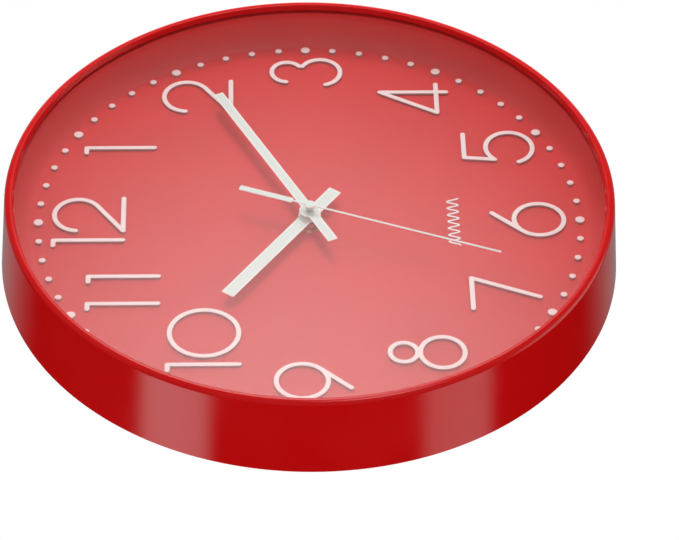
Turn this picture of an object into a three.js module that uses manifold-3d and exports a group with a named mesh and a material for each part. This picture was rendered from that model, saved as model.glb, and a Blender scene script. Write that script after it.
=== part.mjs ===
// Round wall clock: a flared ring case holds a flat lens over a dished dial pan with raised
// numerals, and a battery quartz movement hangs behind the dial on its own threaded stem.
// Millimetres. Everything is laid out face up (x towards 3, y towards 12, z from the wall to
// the viewer). The last lines turn the group to hang: +Z up, face towards -Y, wall at y = 0,
// with the origin where the nail that carries the clock leaves the wall.

import * as THREE from "three";
import { mergeVertices } from "three/addons/utils/BufferGeometryUtils.js";
import Module from "manifold-3d";

const wasm = await Module();
wasm.setup();

// ---------------------------------------------------------------- driving dimensions

const ring = {
  radius: 150,
  flare: 2.9,
  depth: 41.5,
  wall: 2.3,
  shoulder: 2.7,
  crown: 1.2,
  lipWidth: 2.0,
  lipDepth: 2.8,
  facets: 60,
};
const lens = { thickness: 1.5, sideGap: 0.4, seatGap: 0.1 };
const pan = {
  wall: 1.6,
  coveWidth: 8.3,
  coveSteps: 4,
  flangeWidth: 0.6,
  stemHoleGap: 0.3,
  fenceHeight: 4,
  fenceWall: 1.6,
  fenceGap: 0.6,
  ribCount: 8,
  ribHeight: 3,
};
const snap = { count: 8, width: 14, earThickness: 2.2, earGap: 0.6, catchDepth: 1.8, catchHeight: 2 };
const marks = { inset: 2.4, height: 1.3, minuteRadius: 1.6, hourRadius: 2.2 };
const digits = { height: 33.5, stroke: 2.6, thickness: 1.25, seatGap: 0.05, inset: 24.4 };
const waveMark = { width: 35, height: 5, line: 1.3, peaks: 7, thickness: 0.2, below: 70 };

const time = { hours: 10, minutes: 10, seconds: 33.5 };
const hourBlade = { length: 69, tail: 22.2, width: 6.7, hub: 5.4, collar: 3.6 };
const minuteBlade = { length: 99, tail: 24.1, width: 5, hub: 5, collar: 2.6 };
const secondBlade = { length: 97.3, width: 1.1, tail: 36.2, tailWidth: 3.4, tailRoot: 9 };
const handPlate = 0.5;
const handCollar = 1.7;
const handGap = { overNut: 0.2, overHour: 0.8, overMinute: 0.5, secondLift: 3.5, tubeProud: 0.3 };
const secondCap = { radius: 2.3, height: 0.35, barrel: 1.9 };

const stem = { radius: 3.95, bore: 2.65, flange: 6.2, flangeThickness: 0.7 };
const washer = { radius: 7.4, thickness: 0.6 };
const nut = { acrossFlats: 11, thickness: 2.1 };
const rubber = { radius: 8, thickness: 1.0 };
const arborRadius = 0.4;
const secondsArborRadius = 0.5;
const minuteTube = { radius: 1.35, bore: 0.65 };
const hourPipe = { radius: 2.45, bore: 1.55 };
const runningGap = 0.1;
const seat = 0.1; // left between pieces that rest on each other

const movement = { width: 56, aboveAxis: 23.4, wall: 1.2, floor: 1.5, split: 0.4, corner: 4, wallGap: 0.7 };
const battery = { radius: 7.1, length: 50.5, nubRadius: 2.7, nubLength: 1.3, gap: 0.4, inset: 0.2 };
const cellWall = { thickness: 1, wheelGap: 1 };
const gears = {
  rotorPinion: 6,
  fifthWheel: 36,
  fifthPinion: 6,
  secondsWheel: 30,
  secondsPinion: 6,
  thirdWheel: 48,
  thirdPinion: 6,
  centreWheel: 45,
  cannonPinion: 8,
  minuteWheel: 24,
  minutePinion: 6,
  hourWheel: 24,
  settingWheel: 12,
};
// Distances between arbors and the directions they lie in, seen from the front.
const train = {
  rotorToFifth: 7.56,
  fifthToAxis: 8.1,
  fifthDirection: 60,
  rotorDirection: 0,
  thirdToAxis: 10.8,
  thirdDirection: 135,
  minuteToAxis: 8,
  minuteDirection: 270,
  settingDirection: 0,
};
const tooth = { addendum: 0.8, dedendum: 1.2, rootShare: 0.2, tipShare: 0.09 };
const knob = { radius: 5.8, height: 2.8, proud: 0.8, pocketGap: 0.5, pocketWall: 1.1, flutes: 10 };

const hanger = {
  above: 102,
  width: 46,
  height: 26,
  thickness: 1.2,
  standoff: 4.8,
  slotWidth: 4.6,
  slotLength: 9,
  entryRadius: 5.2,
  screwSpacing: 34,
  corner: 4,
};
const screw = { radius: 1.3, head: 2.8, headHeight: 1.9, length: 7.4, hole: 1.5, boss: 3.6 };

// ---------------------------------------------------------------- finishes

const finish = {
  red: { color: 0xc40a0a, roughness: 0.22, metalness: 0 },
  dialRed: { color: 0xbe2a2a, roughness: 0.55, metalness: 0 },
  numeral: { color: 0xf4e6e2, roughness: 0.4, metalness: 0 },
  hand: { color: 0xeef2ea, roughness: 0.35, metalness: 0 },
  clear: { color: 0xeef4f4, roughness: 0.05, metalness: 0, transparent: true, opacity: 0.2 },
  brass: { color: 0xc8a04a, roughness: 0.3, metalness: 1 },
  steel: { color: 0xb8bcc0, roughness: 0.35, metalness: 1 },
  blackPlastic: { color: 0x17181a, roughness: 0.5, metalness: 0 },
  whitePlastic: { color: 0xe8e6dc, roughness: 0.45, metalness: 0 },
  rubber: { color: 0x1c1c1c, roughness: 0.85, metalness: 0 },
  copper: { color: 0xa8562a, roughness: 0.35, metalness: 1 },
  board: { color: 0x1f5a34, roughness: 0.5, metalness: 0 },
  magnet: { color: 0x4a4a50, roughness: 0.4, metalness: 0.8 },
  cell: { color: 0x2a4f86, roughness: 0.3, metalness: 0.2 },
};

// ---------------------------------------------------------------- shape helpers

const radians = (degrees) => (degrees * Math.PI) / 180;

function polar(radius, angle, x = 0, y = 0) {
  return [x + radius * Math.cos(angle), y + radius * Math.sin(angle)];
}

function arc(x, y, radius, start, end, steps) {
  const points = [];
  for (let i = 0; i <= steps; i++) {
    points.push(polar(radius, start + ((end - start) * i) / steps, x, y));
  }
  return points;
}

// A closed geometry as a solid for joining and cutting.
function solid(geometry) {
  const bare = geometry.clone();
  bare.deleteAttribute("normal");
  bare.deleteAttribute("uv");
  const merged = mergeVertices(bare, 1e-4);
  const mesh = new wasm.Mesh({
    numProp: 3,
    vertProperties: new Float32Array(merged.attributes.position.array),
    triVerts: new Uint32Array(merged.index.array),
  });
  return new wasm.Manifold(mesh);
}

function surface(body) {
  const mesh = body.getMesh();
  const geometry = new THREE.BufferGeometry();
  geometry.setAttribute("position", new THREE.BufferAttribute(mesh.vertProperties, 3));
  geometry.setIndex(new THREE.BufferAttribute(mesh.triVerts, 1));
  geometry.computeVertexNormals();
  return geometry;
}

function join(bodies) {
  return bodies.reduce((whole, body) => whole.add(body));
}

function cut(body, tools) {
  return tools.reduce((left, tool) => left.subtract(tool), body);
}

// An outline of [x, y] points, with optional holes, drawn up from z0 to z1.
function prism(outline, z0, z1, holes = []) {
  const shape = new THREE.Shape(outline.map(([x, y]) => new THREE.Vector2(x, y)));
  for (const hole of holes) {
    shape.holes.push(new THREE.Path(hole.map(([x, y]) => new THREE.Vector2(x, y))));
  }
  const geometry = new THREE.ExtrudeGeometry(shape, { depth: z1 - z0, bevelEnabled: false });
  return solid(geometry.translate(0, 0, z0));
}

function circle(radius, facets, x = 0, y = 0, phase = 0) {
  const points = [];
  for (let i = 0; i < facets; i++) {
    points.push(polar(radius, phase + (2 * Math.PI * i) / facets, x, y));
  }
  return points;
}

function disc(radius, z0, z1, facets, x = 0, y = 0) {
  return prism(circle(radius, facets, x, y), z0, z1);
}

function collar(outer, inner, z0, z1, facets, x = 0, y = 0) {
  return prism(circle(outer, facets, x, y), z0, z1, [circle(inner, facets, x, y)]);
}

function box(x0, x1, y0, y1, z0, z1) {
  const geometry = new THREE.BoxGeometry(x1 - x0, y1 - y0, z1 - z0);
  return solid(geometry.translate((x0 + x1) / 2, (y0 + y1) / 2, (z0 + z1) / 2));
}

function roundedRectangle(x0, x1, y0, y1, corner, steps = 3) {
  const quarter = Math.PI / 2;
  return [
    ...arc(x1 - corner, y0 + corner, corner, -quarter, 0, steps),
    ...arc(x1 - corner, y1 - corner, corner, 0, quarter, steps),
    ...arc(x0 + corner, y1 - corner, corner, quarter, 2 * quarter, steps),
    ...arc(x0 + corner, y0 + corner, corner, 2 * quarter, 3 * quarter, steps),
  ];
}

// A closed [radius, z] profile, listed with the outside wall going up, spun about z.
function spin(profile, facets) {
  const points = [...profile, profile[0]].map(([r, z]) => new THREE.Vector2(r, z));
  return solid(new THREE.LatheGeometry(points, facets).rotateX(Math.PI / 2));
}

function turned(body, angle) {
  return body.rotate([0, 0, THREE.MathUtils.radToDeg(angle)]);
}

const clock = new THREE.Group();

function piece(name, body, look, parent = clock) {
  const mesh = new THREE.Mesh(surface(body), new THREE.MeshStandardMaterial(look));
  mesh.name = name;
  parent.add(mesh);
  return mesh;
}

// ---------------------------------------------------------------- heights and places

// Stacked from the wall forwards: movement, rubber washer, dial pan.
const caseBack = knob.proud + movement.wallGap;
const movementDepth = battery.inset + 2 * battery.radius + seat + movement.floor;
const caseFront = caseBack + movementDepth;
const panBack = caseFront + rubber.thickness + 2 * seat;
const faceHeight = panBack + pan.wall;
const lipHeight = ring.depth - ring.lipDepth;
const lensTop = lipHeight - lens.seatGap;
const lensBottom = lensTop - lens.thickness;
const flangeTop = lensBottom - lens.seatGap;
const rimRadius = ring.radius - ring.flare;
const seatRadius = rimRadius - ring.wall;
const lensRadius = seatRadius - lens.sideGap;
const lipRadius = rimRadius - ring.shoulder - ring.lipWidth;
const coveTopRadius = lensRadius - pan.flangeWidth - pan.wall;
const coveFootRadius = coveTopRadius - pan.coveWidth;
const marksRadius = coveFootRadius - marks.inset;
const digitsRadius = marksRadius - digits.inset;

// Inside radius of the case wall at a height.
function caseInside(z) {
  const lean = ring.flare / (ring.depth - ring.shoulder);
  return ring.radius - ring.wall - z * lean;
}

const innerFront = caseFront - movement.floor;
const innerBack = caseBack + movement.floor;
const splitHeight = caseBack + movementDepth / 2 - movement.split;
const splitGap = 0.15;
const halfWidth = movement.width / 2;
const moduleFor = (distance, teethA, teethB) => (2 * distance) / (teethA + teethB);
const cannonModule = moduleFor(train.minuteToAxis, gears.cannonPinion, gears.minuteWheel);
const minuteWheelTip = cannonModule * (gears.minuteWheel / 2 + tooth.addendum);
const cellWallTop = -train.minuteToAxis - minuteWheelTip - cellWall.wheelGap;
const cellWallY = cellWallTop - cellWall.thickness;
const cellY = cellWallY - battery.gap - battery.radius;
const cellZ = caseBack + battery.inset + battery.radius;
const movementBottom = cellY - battery.radius - battery.gap - movement.wall;
const movementTop = movement.aboveAxis;

const fifthAt = polar(train.fifthToAxis, radians(train.fifthDirection));
const rotorAt = polar(train.rotorToFifth, radians(train.rotorDirection), ...fifthAt);
const thirdAt = polar(train.thirdToAxis, radians(train.thirdDirection));
const minuteAt = polar(train.minuteToAxis, radians(train.minuteDirection));
const settingReach = (cannonModule * (gears.minuteWheel + gears.settingWheel)) / 2;
const settingAt = polar(settingReach, radians(train.settingDirection), ...minuteAt);

// Levels in the movement, each one [low, high], stacked from the rear cover forwards.
const level = {
  fifthWheel: [innerBack + 0.6, innerBack + 1.3],
  fifthPinion: [innerBack + 1.3, innerBack + 3.3],
  secondsWheel: [innerBack + 2.0, innerBack + 2.7],
  magnet: [innerBack + 2.4, innerBack + 4.0],
  stator: [innerBack + 3.0, innerBack + 3.8],
  bridge: [innerBack + 4.4, innerBack + 5.2],
  secondsPinion: [innerBack + 5.5, innerBack + 7.0],
  thirdWheel: [innerBack + 5.8, innerBack + 6.5],
  thirdPinion: [innerBack + 6.5, innerBack + 8.6],
  centreWheel: [innerBack + 7.4, innerBack + 8.1],
  cannonPinion: [innerBack + 8.6, innerBack + 10.1],
  minuteWheel: [innerBack + 9.1, innerBack + 9.8],
  minutePinion: [innerBack + 9.8, innerBack + 12.1],
  hourWheel: [innerBack + 10.8, innerBack + 11.7],
};

// ---------------------------------------------------------------- case and lens

function caseRing() {
  const shoulderX = rimRadius - ring.shoulder;
  const shoulderZ = ring.depth - ring.shoulder;
  const profile = [
    [ring.radius, 0],
    ...arc(shoulderX, shoulderZ, ring.shoulder, 0, Math.PI / 2, 4),
    [lipRadius + ring.lipWidth - ring.crown, ring.depth],
    [lipRadius, lipHeight],
    [seatRadius, lipHeight],
    [ring.radius - ring.wall, 0],
  ];
  return join([spin(profile, ring.facets), ...snapCatches()]);
}

const earTop = panBack + 0.2;
const earBottom = earTop - snap.earThickness;
const catchRadius = lensRadius + 0.2;

function snapAngles() {
  return Array.from({ length: snap.count }, (_, i) => ((i + 0.5) * 2 * Math.PI) / snap.count);
}

// Ramps inside the case wall that the pan's ears snap over.
function snapCatches() {
  const top = earBottom - seat;
  const wallTop = caseInside(top) + 0.8;
  const ramp = [
    [catchRadius, top - 0.6],
    [wallTop, top - snap.catchHeight - snap.catchDepth],
    [wallTop, top],
    [catchRadius, top],
  ];
  return snapAngles().map((angle) => turned(radialPlate(ramp, snap.width * 0.8), angle));
}

// A plate drawn as [radius, z] points, standing in the x-z plane and as thick as width.
function radialPlate(outline, width) {
  const shape = new THREE.Shape(outline.map(([r, z]) => new THREE.Vector2(r, z)));
  const geometry = new THREE.ExtrudeGeometry(shape, { depth: width, bevelEnabled: false });
  return solid(geometry.translate(0, 0, -width / 2).rotateX(Math.PI / 2));
}

function frontLens() {
  return disc(lensRadius, lensBottom, lensTop, ring.facets);
}

// ---------------------------------------------------------------- dial pan

function cove(width, foot, low, high, backwards) {
  const points = [];
  for (let i = 0; i <= pan.coveSteps; i++) {
    const turn = (Math.PI / 2) * (i / pan.coveSteps);
    points.push([foot + width * Math.sin(turn), low + (high - low) * (1 - Math.cos(turn))]);
  }
  return backwards ? points.reverse() : points;
}

function dialPan() {
  const hole = stem.radius + pan.stemHoleGap;
  const profile = [
    [hole, panBack],
    ...cove(pan.coveWidth + pan.wall, coveFootRadius, panBack, flangeTop - pan.wall, false),
    [lensRadius, flangeTop - pan.wall],
    [lensRadius, flangeTop],
    ...cove(pan.coveWidth, coveFootRadius, faceHeight, flangeTop, true),
    [hole, faceHeight],
  ];
  const bosses = hangerScrewPlaces().map(([x, y]) =>
    collar(screw.boss, screw.hole, bossEnd, panBack + 0.2, 10, x, y),
  );
  return join([
    spin(profile, ring.facets),
    ...minuteMarks(),
    ...snapEars(),
    ...stiffeningRibs(),
    movementFence(),
    ...bosses,
  ]);
}

function minuteMarks() {
  return Array.from({ length: 60 }, (_, i) => {
    const onHour = i % 5 === 0;
    const [x, y] = polar(marksRadius, (i * Math.PI) / 30);
    const radius = onHour ? marks.hourRadius : marks.minuteRadius;
    return disc(radius, faceHeight - 0.3, faceHeight + marks.height, onHour ? 8 : 6, x, y);
  });
}

function snapEars() {
  const reach = caseInside(earTop) - snap.earGap;
  return snapAngles().map((angle) => {
    const ear = box(coveFootRadius - 8, reach, -snap.width / 2, snap.width / 2, earBottom, earTop);
    return turned(ear, angle);
  });
}

function movementFence() {
  const inner = pan.fenceGap;
  const outer = pan.fenceGap + pan.fenceWall;
  const edge = (grow) => [
    [-halfWidth - grow, movementBottom - grow],
    [halfWidth + grow, movementBottom - grow],
    [halfWidth + grow, movementTop + grow],
    [-halfWidth - grow, movementTop + grow],
  ];
  return prism(edge(outer), panBack - pan.fenceHeight, panBack + 0.2, [edge(inner)]);
}

function stiffeningRibs() {
  const start = Math.hypot(halfWidth, movementBottom) + pan.fenceGap + pan.fenceWall + 2;
  const end = coveFootRadius - 10;
  return Array.from({ length: pan.ribCount }, (_, i) => {
    const rib = box(start, end, -pan.wall / 2, pan.wall / 2, panBack - pan.ribHeight, panBack + 0.2);
    return turned(rib, ((i + 0.5) * 2 * Math.PI) / pan.ribCount + Math.PI / pan.ribCount);
  });
}

// ---------------------------------------------------------------- numerals

const digitBottom = faceHeight + digits.seatGap;
const digitTop = digitBottom + digits.thickness;
const halfDigit = digits.height / 2;
const halfStroke = digits.stroke / 2;

// A straight stroke with round ends.
function bar([x0, y0], [x1, y1]) {
  const along = Math.atan2(y1 - y0, x1 - x0);
  const side = Math.PI / 2;
  const outline = [
    ...arc(x1, y1, halfStroke, along - side, along + side, 3),
    ...arc(x0, y0, halfStroke, along + side, along + 3 * side, 3),
  ];
  return prism(outline, digitBottom, digitTop);
}

// A stroke along an arc, anticlockwise from start to end in degrees, with round ends.
function bow(x, y, radius, start, end) {
  const from = radians(start);
  const to = radians(end);
  const steps = Math.ceil((end - start) / 30);
  const outline = [
    ...arc(x, y, radius + halfStroke, from, to, steps),
    ...arc(...polar(radius, to, x, y), halfStroke, to, to + Math.PI, 3).slice(1, -1),
    ...arc(x, y, radius - halfStroke, to, from, steps),
    ...arc(...polar(radius, from, x, y), halfStroke, from + Math.PI, from + 2 * Math.PI, 3).slice(1, -1),
  ];
  return prism(outline, digitBottom, digitTop);
}

function oval(x, y, radiusX, radiusY) {
  const edge = (grow) =>
    circle(1, 18).map(([u, v]) => [x + u * (radiusX + grow), y + v * (radiusY + grow)]);
  return prism(edge(halfStroke), digitBottom, digitTop, [edge(-halfStroke)]);
}

// The angle, in degrees, where a line from a point touches an oval, on its left or right side.
function touchAngle([px, py], x, y, radiusX, radiusY, side) {
  const u = (px - x) / radiusX;
  const v = (py - y) / radiusY;
  return THREE.MathUtils.radToDeg(Math.atan2(v, u) + side * Math.acos(1 / Math.hypot(u, v)));
}

const glyph = {
  0: () => [oval(0, 0, 15.7, 16.3)],
  1: () => [bar([0, -halfDigit], [0, halfDigit]), bar([0, halfDigit], [-3.8, halfDigit])],
  2: () => {
    const radius = 11.4;
    const centreY = halfDigit - radius;
    const corner = [-radius - 0.3, -halfDigit];
    const leave = touchAngle(corner, 0, centreY, radius, radius, 1);
    const end = polar(radius, radians(leave), 0, centreY);
    return [
      bow(0, centreY, radius, leave, 176),
      bar(end, corner),
      bar(corner, [radius + 0.6, -halfDigit]),
    ];
  },
  3: () => [bow(0, 9.6, 7.75, -54, 176), bow(-0.3, -7.2, 10.1, -165, 62)],
  4: () => {
    const left = [-11, 5.1 - halfDigit];
    return [
      bar([5.1, -halfDigit], [5.1, halfDigit]),
      bar(left, [11.1, left[1]]),
      bar([4.9, halfDigit - 0.3], [left[0] + 0.3, left[1] + 0.2]),
    ];
  },
  5: () => {
    const shoulder = polar(11.6, radians(140), -0.2, -5.5);
    return [
      bar([-7.6, halfDigit + 0.3], [10.1, halfDigit + 0.3]),
      bar([-7.6, halfDigit + 0.3], shoulder),
      bow(-0.2, -5.5, 11.6, -158, 140),
    ];
  },
  6: () => {
    const tip = [4.8, halfDigit + 0.6];
    const touch = touchAngle(tip, 0, -5.4, 11.45, 12.1, 1);
    const foot = [11.45 * Math.cos(radians(touch)), -5.4 + 12.1 * Math.sin(radians(touch))];
    return [oval(0, -5.4, 11.45, 12.1), bar(foot, tip)];
  },
  7: () => [
    bar([-10.6, halfDigit - 0.6], [10.6, halfDigit - 0.6]),
    bar([10.6, halfDigit - 0.6], [-2.8, 0.7 - halfDigit]),
  ],
  8: () => [oval(0.1, 11.1, 6.45, 6.45), oval(-0.1, -7.1, 10.45, 10.45)],
  9: () => glyph[6]().map((stroke) => turned(stroke, Math.PI)),
};

// Each numeral's digits: [node name, figure, sideways from the numeral's own place].
const numerals = [
  { hour: 1, digits: [["numeral_1", 1, 1.9]] },
  { hour: 2, out: 2.6, digits: [["numeral_2", 2, 0]] },
  { hour: 3, out: 7, digits: [["numeral_3", 3, 0]] },
  { hour: 4, digits: [["numeral_4", 4, 0]] },
  { hour: 5, out: 1.9, digits: [["numeral_5", 5, 0]] },
  { hour: 6, out: -1, digits: [["numeral_6", 6, 0.4]] },
  { hour: 7, digits: [["numeral_7", 7, 1.4]] },
  { hour: 8, digits: [["numeral_8", 8, 0]] },
  { hour: 9, out: 4.4, digits: [["numeral_9", 9, 0]] },
  { hour: 10, out: -4.8, digits: [["numeral_10_one", 1, -11.45], ["numeral_10_zero", 0, 9.95]] },
  { hour: 11, out: -3.7, digits: [["numeral_11_left", 1, -6.4], ["numeral_11_right", 1, 12.7]] },
  { hour: 12, digits: [["numeral_12_one", 1, -13], ["numeral_12_two", 2, 5.5]] },
];

function placeNumerals() {
  for (const { hour, out = 0, digits: figures } of numerals) {
    const [x, y] = polar(digitsRadius + out, radians(90 - 30 * hour));
    for (const [name, figure, shift] of figures) {
      const mesh = piece(name, join(glyph[figure]()), finish.numeral);
      mesh.position.set(x + shift, y, 0);
    }
  }
}

// A plain wave line under the axis, standing for the movement's steady beat.
function dialMark() {
  const count = 2 * waveMark.peaks;
  const line = Array.from({ length: count + 1 }, (_, i) => [
    (waveMark.width * i) / count - waveMark.width / 2,
    (waveMark.height / 2) * (i % 2 === 0 ? -1 : 1),
  ]);
  const lower = line.map(([x, y]) => [x, y - waveMark.line / 2]);
  const upper = line.map(([x, y]) => [x, y + waveMark.line / 2]).reverse();
  return prism([...lower, ...upper], digitBottom, digitBottom + waveMark.thickness);
}

// ---------------------------------------------------------------- hands

const washerBase = faceHeight + seat;
const nutBase = washerBase + washer.thickness + seat;
const hourTop = nutBase + nut.thickness + handGap.overNut + handCollar + handPlate;
const minuteTop = hourTop + handGap.overHour + handCollar + handPlate;
const secondTop = minuteTop + handGap.overMinute + handGap.secondLift + handPlate;

const clockSeconds = time.seconds;
const clockMinutes = time.minutes + clockSeconds / 60;
const clockHours = time.hours + clockMinutes / 60;
const handAngle = {
  hour: (clockHours / 12) * 2 * Math.PI,
  minute: (clockMinutes / 60) * 2 * Math.PI,
  second: (clockSeconds / 60) * 2 * Math.PI,
};

function bladeHand(blade, top, bore) {
  const low = top - handPlate;
  const half = blade.width / 2;
  return cut(
    join([
      box(-half, half, -blade.tail, blade.length, low, top),
      disc(blade.hub, low, top, 16),
      disc(blade.collar, low - handCollar, low + 0.1, 12),
    ]),
    [disc(bore, low - handCollar - 1, top + 1, 12)],
  );
}

function secondHand() {
  const low = secondTop - handPlate;
  const half = secondBlade.width / 2;
  const halfTail = secondBlade.tailWidth / 2;
  const bore = secondsArborRadius + seat / 2;
  return cut(
    join([
      box(-half, half, -secondBlade.tailRoot - 1, secondBlade.length, low, secondTop),
      box(-halfTail, halfTail, -secondBlade.tail, -secondBlade.tailRoot, low, secondTop),
      disc(secondCap.barrel, minuteTop + handGap.overMinute, low + 0.1, 12),
      disc(secondCap.radius, low, secondTop + secondCap.height, 12),
    ]),
    [disc(bore, minuteTop, low, 10)],
  );
}

// ---------------------------------------------------------------- wheels

function gearBody(teeth, gearModule, phase, [z0, z1], bore = 0) {
  const pitch = (2 * Math.PI) / teeth;
  const root = (gearModule * teeth) / 2 - tooth.dedendum * gearModule;
  const tip = (gearModule * teeth) / 2 + tooth.addendum * gearModule;
  const outline = [];
  for (let i = 0; i < teeth; i++) {
    const middle = phase + i * pitch;
    outline.push(polar(root, middle - tooth.rootShare * pitch));
    outline.push(polar(tip, middle - tooth.tipShare * pitch));
    outline.push(polar(tip, middle + tooth.tipShare * pitch));
    outline.push(polar(root, middle + tooth.rootShare * pitch));
  }
  return prism(outline, z0, z1, bore > 0 ? [circle(bore, 12)] : []);
}

const trainModule = {
  rotor: moduleFor(train.rotorToFifth, gears.rotorPinion, gears.fifthWheel),
  fifth: moduleFor(train.fifthToAxis, gears.fifthPinion, gears.secondsWheel),
  seconds: moduleFor(train.thirdToAxis, gears.secondsPinion, gears.thirdWheel),
  third: moduleFor(train.thirdToAxis, gears.thirdPinion, gears.centreWheel),
  cannon: cannonModule,
  minute: moduleFor(train.minuteToAxis, gears.minutePinion, gears.hourWheel),
};

// A wheel has a tooth pointing at its partner, and the partner has a gap pointing back.
const toothTowards = (degrees) => radians(degrees);
const gapTowards = (degrees, teeth) => radians(degrees) + Math.PI / teeth;

function rotorPinion() {
  const phase = gapTowards(train.rotorDirection + 180, gears.rotorPinion);
  const span = [level.fifthWheel[0] - 0.1, level.fifthWheel[1] + 0.6];
  return join([
    gearBody(gears.rotorPinion, trainModule.rotor, phase, span),
    disc(arborRadius, innerBack - 0.7, level.bridge[1] - 0.1, 8),
  ]);
}

function rotorMagnet() {
  return collar(3.2, arborRadius + seat / 2, ...level.magnet, 12);
}

function fifthWheel() {
  const wheelPhase = toothTowards(train.rotorDirection);
  const pinionPhase = gapTowards(train.fifthDirection + 180, gears.fifthPinion);
  return join([
    gearBody(gears.fifthWheel, trainModule.rotor, wheelPhase, level.fifthWheel),
    gearBody(gears.fifthPinion, trainModule.fifth, pinionPhase, level.fifthPinion),
    disc(arborRadius, innerBack - 0.7, level.bridge[1] - 0.1, 8),
  ]);
}

function secondsWheel() {
  const wheelPhase = toothTowards(train.fifthDirection);
  const pinionPhase = gapTowards(train.thirdDirection, gears.secondsPinion);
  const end = secondTop - handPlate - 0.3;
  return join([
    gearBody(gears.secondsWheel, trainModule.fifth, wheelPhase, level.secondsWheel),
    gearBody(gears.secondsPinion, trainModule.seconds, pinionPhase, level.secondsPinion),
    disc(secondsArborRadius, innerBack - 0.7, end, 10),
  ]);
}

function thirdWheel() {
  const wheelPhase = toothTowards(train.thirdDirection + 180);
  const pinionPhase = gapTowards(train.thirdDirection + 180, gears.thirdPinion);
  return join([
    gearBody(gears.thirdWheel, trainModule.seconds, wheelPhase, level.thirdWheel),
    gearBody(gears.thirdPinion, trainModule.third, pinionPhase, level.thirdPinion),
    disc(arborRadius, level.bridge[0] + 0.1, level.thirdPinion[1] + 1.6, 8),
  ]);
}

function centreWheel() {
  const bore = minuteTube.radius + runningGap;
  const phase = toothTowards(train.thirdDirection);
  const hubTop = level.centreWheel[1] + 0.3;
  return join([
    gearBody(gears.centreWheel, trainModule.third, phase, level.centreWheel, bore),
    collar(bore + 0.9, bore, level.centreWheel[0], hubTop, 12),
  ]);
}

function minuteTubePiece() {
  const phase = gapTowards(train.minuteDirection, gears.cannonPinion);
  const { radius, bore } = minuteTube;
  return join([
    collar(radius, bore, level.centreWheel[0] - 0.3, minuteTop + handGap.tubeProud, 12),
    gearBody(gears.cannonPinion, trainModule.cannon, phase, level.cannonPinion, bore),
  ]);
}

const minutePostRadius = 0.8;

function minuteWheel() {
  const wheelPhase = toothTowards(train.minuteDirection + 180);
  const pinionPhase = gapTowards(train.minuteDirection + 180, gears.minutePinion);
  const bore = minutePostRadius + runningGap;
  return cut(
    join([
      gearBody(gears.minuteWheel, trainModule.cannon, wheelPhase, level.minuteWheel),
      gearBody(gears.minutePinion, trainModule.minute, pinionPhase, level.minutePinion),
    ]),
    [disc(bore, level.minuteWheel[0] - 1, level.minutePinion[1] + 1, 10)],
  );
}

function hourWheel() {
  const phase = toothTowards(train.minuteDirection);
  const { radius, bore } = hourPipe;
  return join([
    gearBody(gears.hourWheel, trainModule.minute, phase, level.hourWheel, bore),
    collar(radius, bore, level.hourWheel[0], hourTop + handGap.tubeProud, 12),
  ]);
}

const shaftRadius = 1;

function settingShaft() {
  const phase = gapTowards(train.settingDirection + 180, gears.settingWheel);
  return join([
    gearBody(gears.settingWheel, trainModule.cannon, phase, level.minuteWheel),
    disc(shaftRadius, knobTop - 1.4, level.minuteWheel[1] + 1.2, 10),
  ]);
}

const knobBack = caseBack - knob.proud;
const knobTop = knobBack + knob.height;
const pocketFloor = knobTop + 0.3;

function settingKnob() {
  const edge = [];
  for (let i = 0; i < knob.flutes; i++) {
    const middle = (2 * Math.PI * i) / knob.flutes;
    const step = Math.PI / knob.flutes;
    edge.push(polar(knob.radius, middle - step / 2));
    edge.push(polar(knob.radius, middle + step / 2));
    edge.push(polar(knob.radius - 0.6, middle + step));
  }
  const recess = disc(knob.radius - 1.6, knobBack - 1, knobBack + 0.7, 16);
  const bore = disc(shaftRadius + seat / 2, knobTop - 1.5, knobTop + 1, 10);
  return cut(prism(edge, knobBack, knobTop), [recess, bore]);
}

// ---------------------------------------------------------------- movement case

function movementShell(z0, z1, floor0, floor1) {
  const [x0, x1, y0, y1] = [-halfWidth, halfWidth, movementBottom, movementTop];
  const inset = movement.wall;
  const outline = roundedRectangle(x0, x1, y0, y1, movement.corner);
  const inside = [x0 + inset, x1 - inset, y0 + inset, y1 - inset];
  const hollow = roundedRectangle(...inside, movement.corner - inset);
  const low = floor0 === z0 ? floor1 : z0 - 1;
  const high = floor0 === z0 ? z1 + 1 : floor0;
  const shell = cut(prism(outline, z0, z1), [prism(hollow, low, high)]);
  const cellWall = box(x0 + 0.5, x1 - 0.5, cellWallY, cellWallTop, z0, z1);
  return join([shell, cellWall]);
}

function rearCover() {
  const [knobX, knobY] = settingAt;
  const pocket = knob.radius + knob.pocketGap;
  const window = box(
    -battery.length / 2 - 1,
    battery.length / 2 + 1,
    cellY - battery.radius - battery.gap / 2,
    cellWallY,
    caseBack - 1,
    innerBack + 1,
  );
  const pivots = [fifthAt, rotorAt, [0, 0]].map(([x, y]) =>
    disc(secondsArborRadius + runningGap, innerBack - 0.9, innerBack + 1, 8, x, y),
  );
  const pocketBody = disc(pocket + knob.pocketWall, caseBack, pocketFloor + 1, 20, knobX, knobY);
  const shell = join([movementShell(caseBack, splitHeight, caseBack, innerBack), pocketBody]);
  return cut(shell, [
    window,
    disc(pocket, caseBack - 1, pocketFloor, 20, knobX, knobY),
    disc(shaftRadius + 2 * runningGap, caseBack, pocketFloor + 2, 10, knobX, knobY),
    ...pivots,
  ]);
}

const bridgePosts = [
  [-19.5, -1],
  [12.5, 14.5],
];

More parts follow.
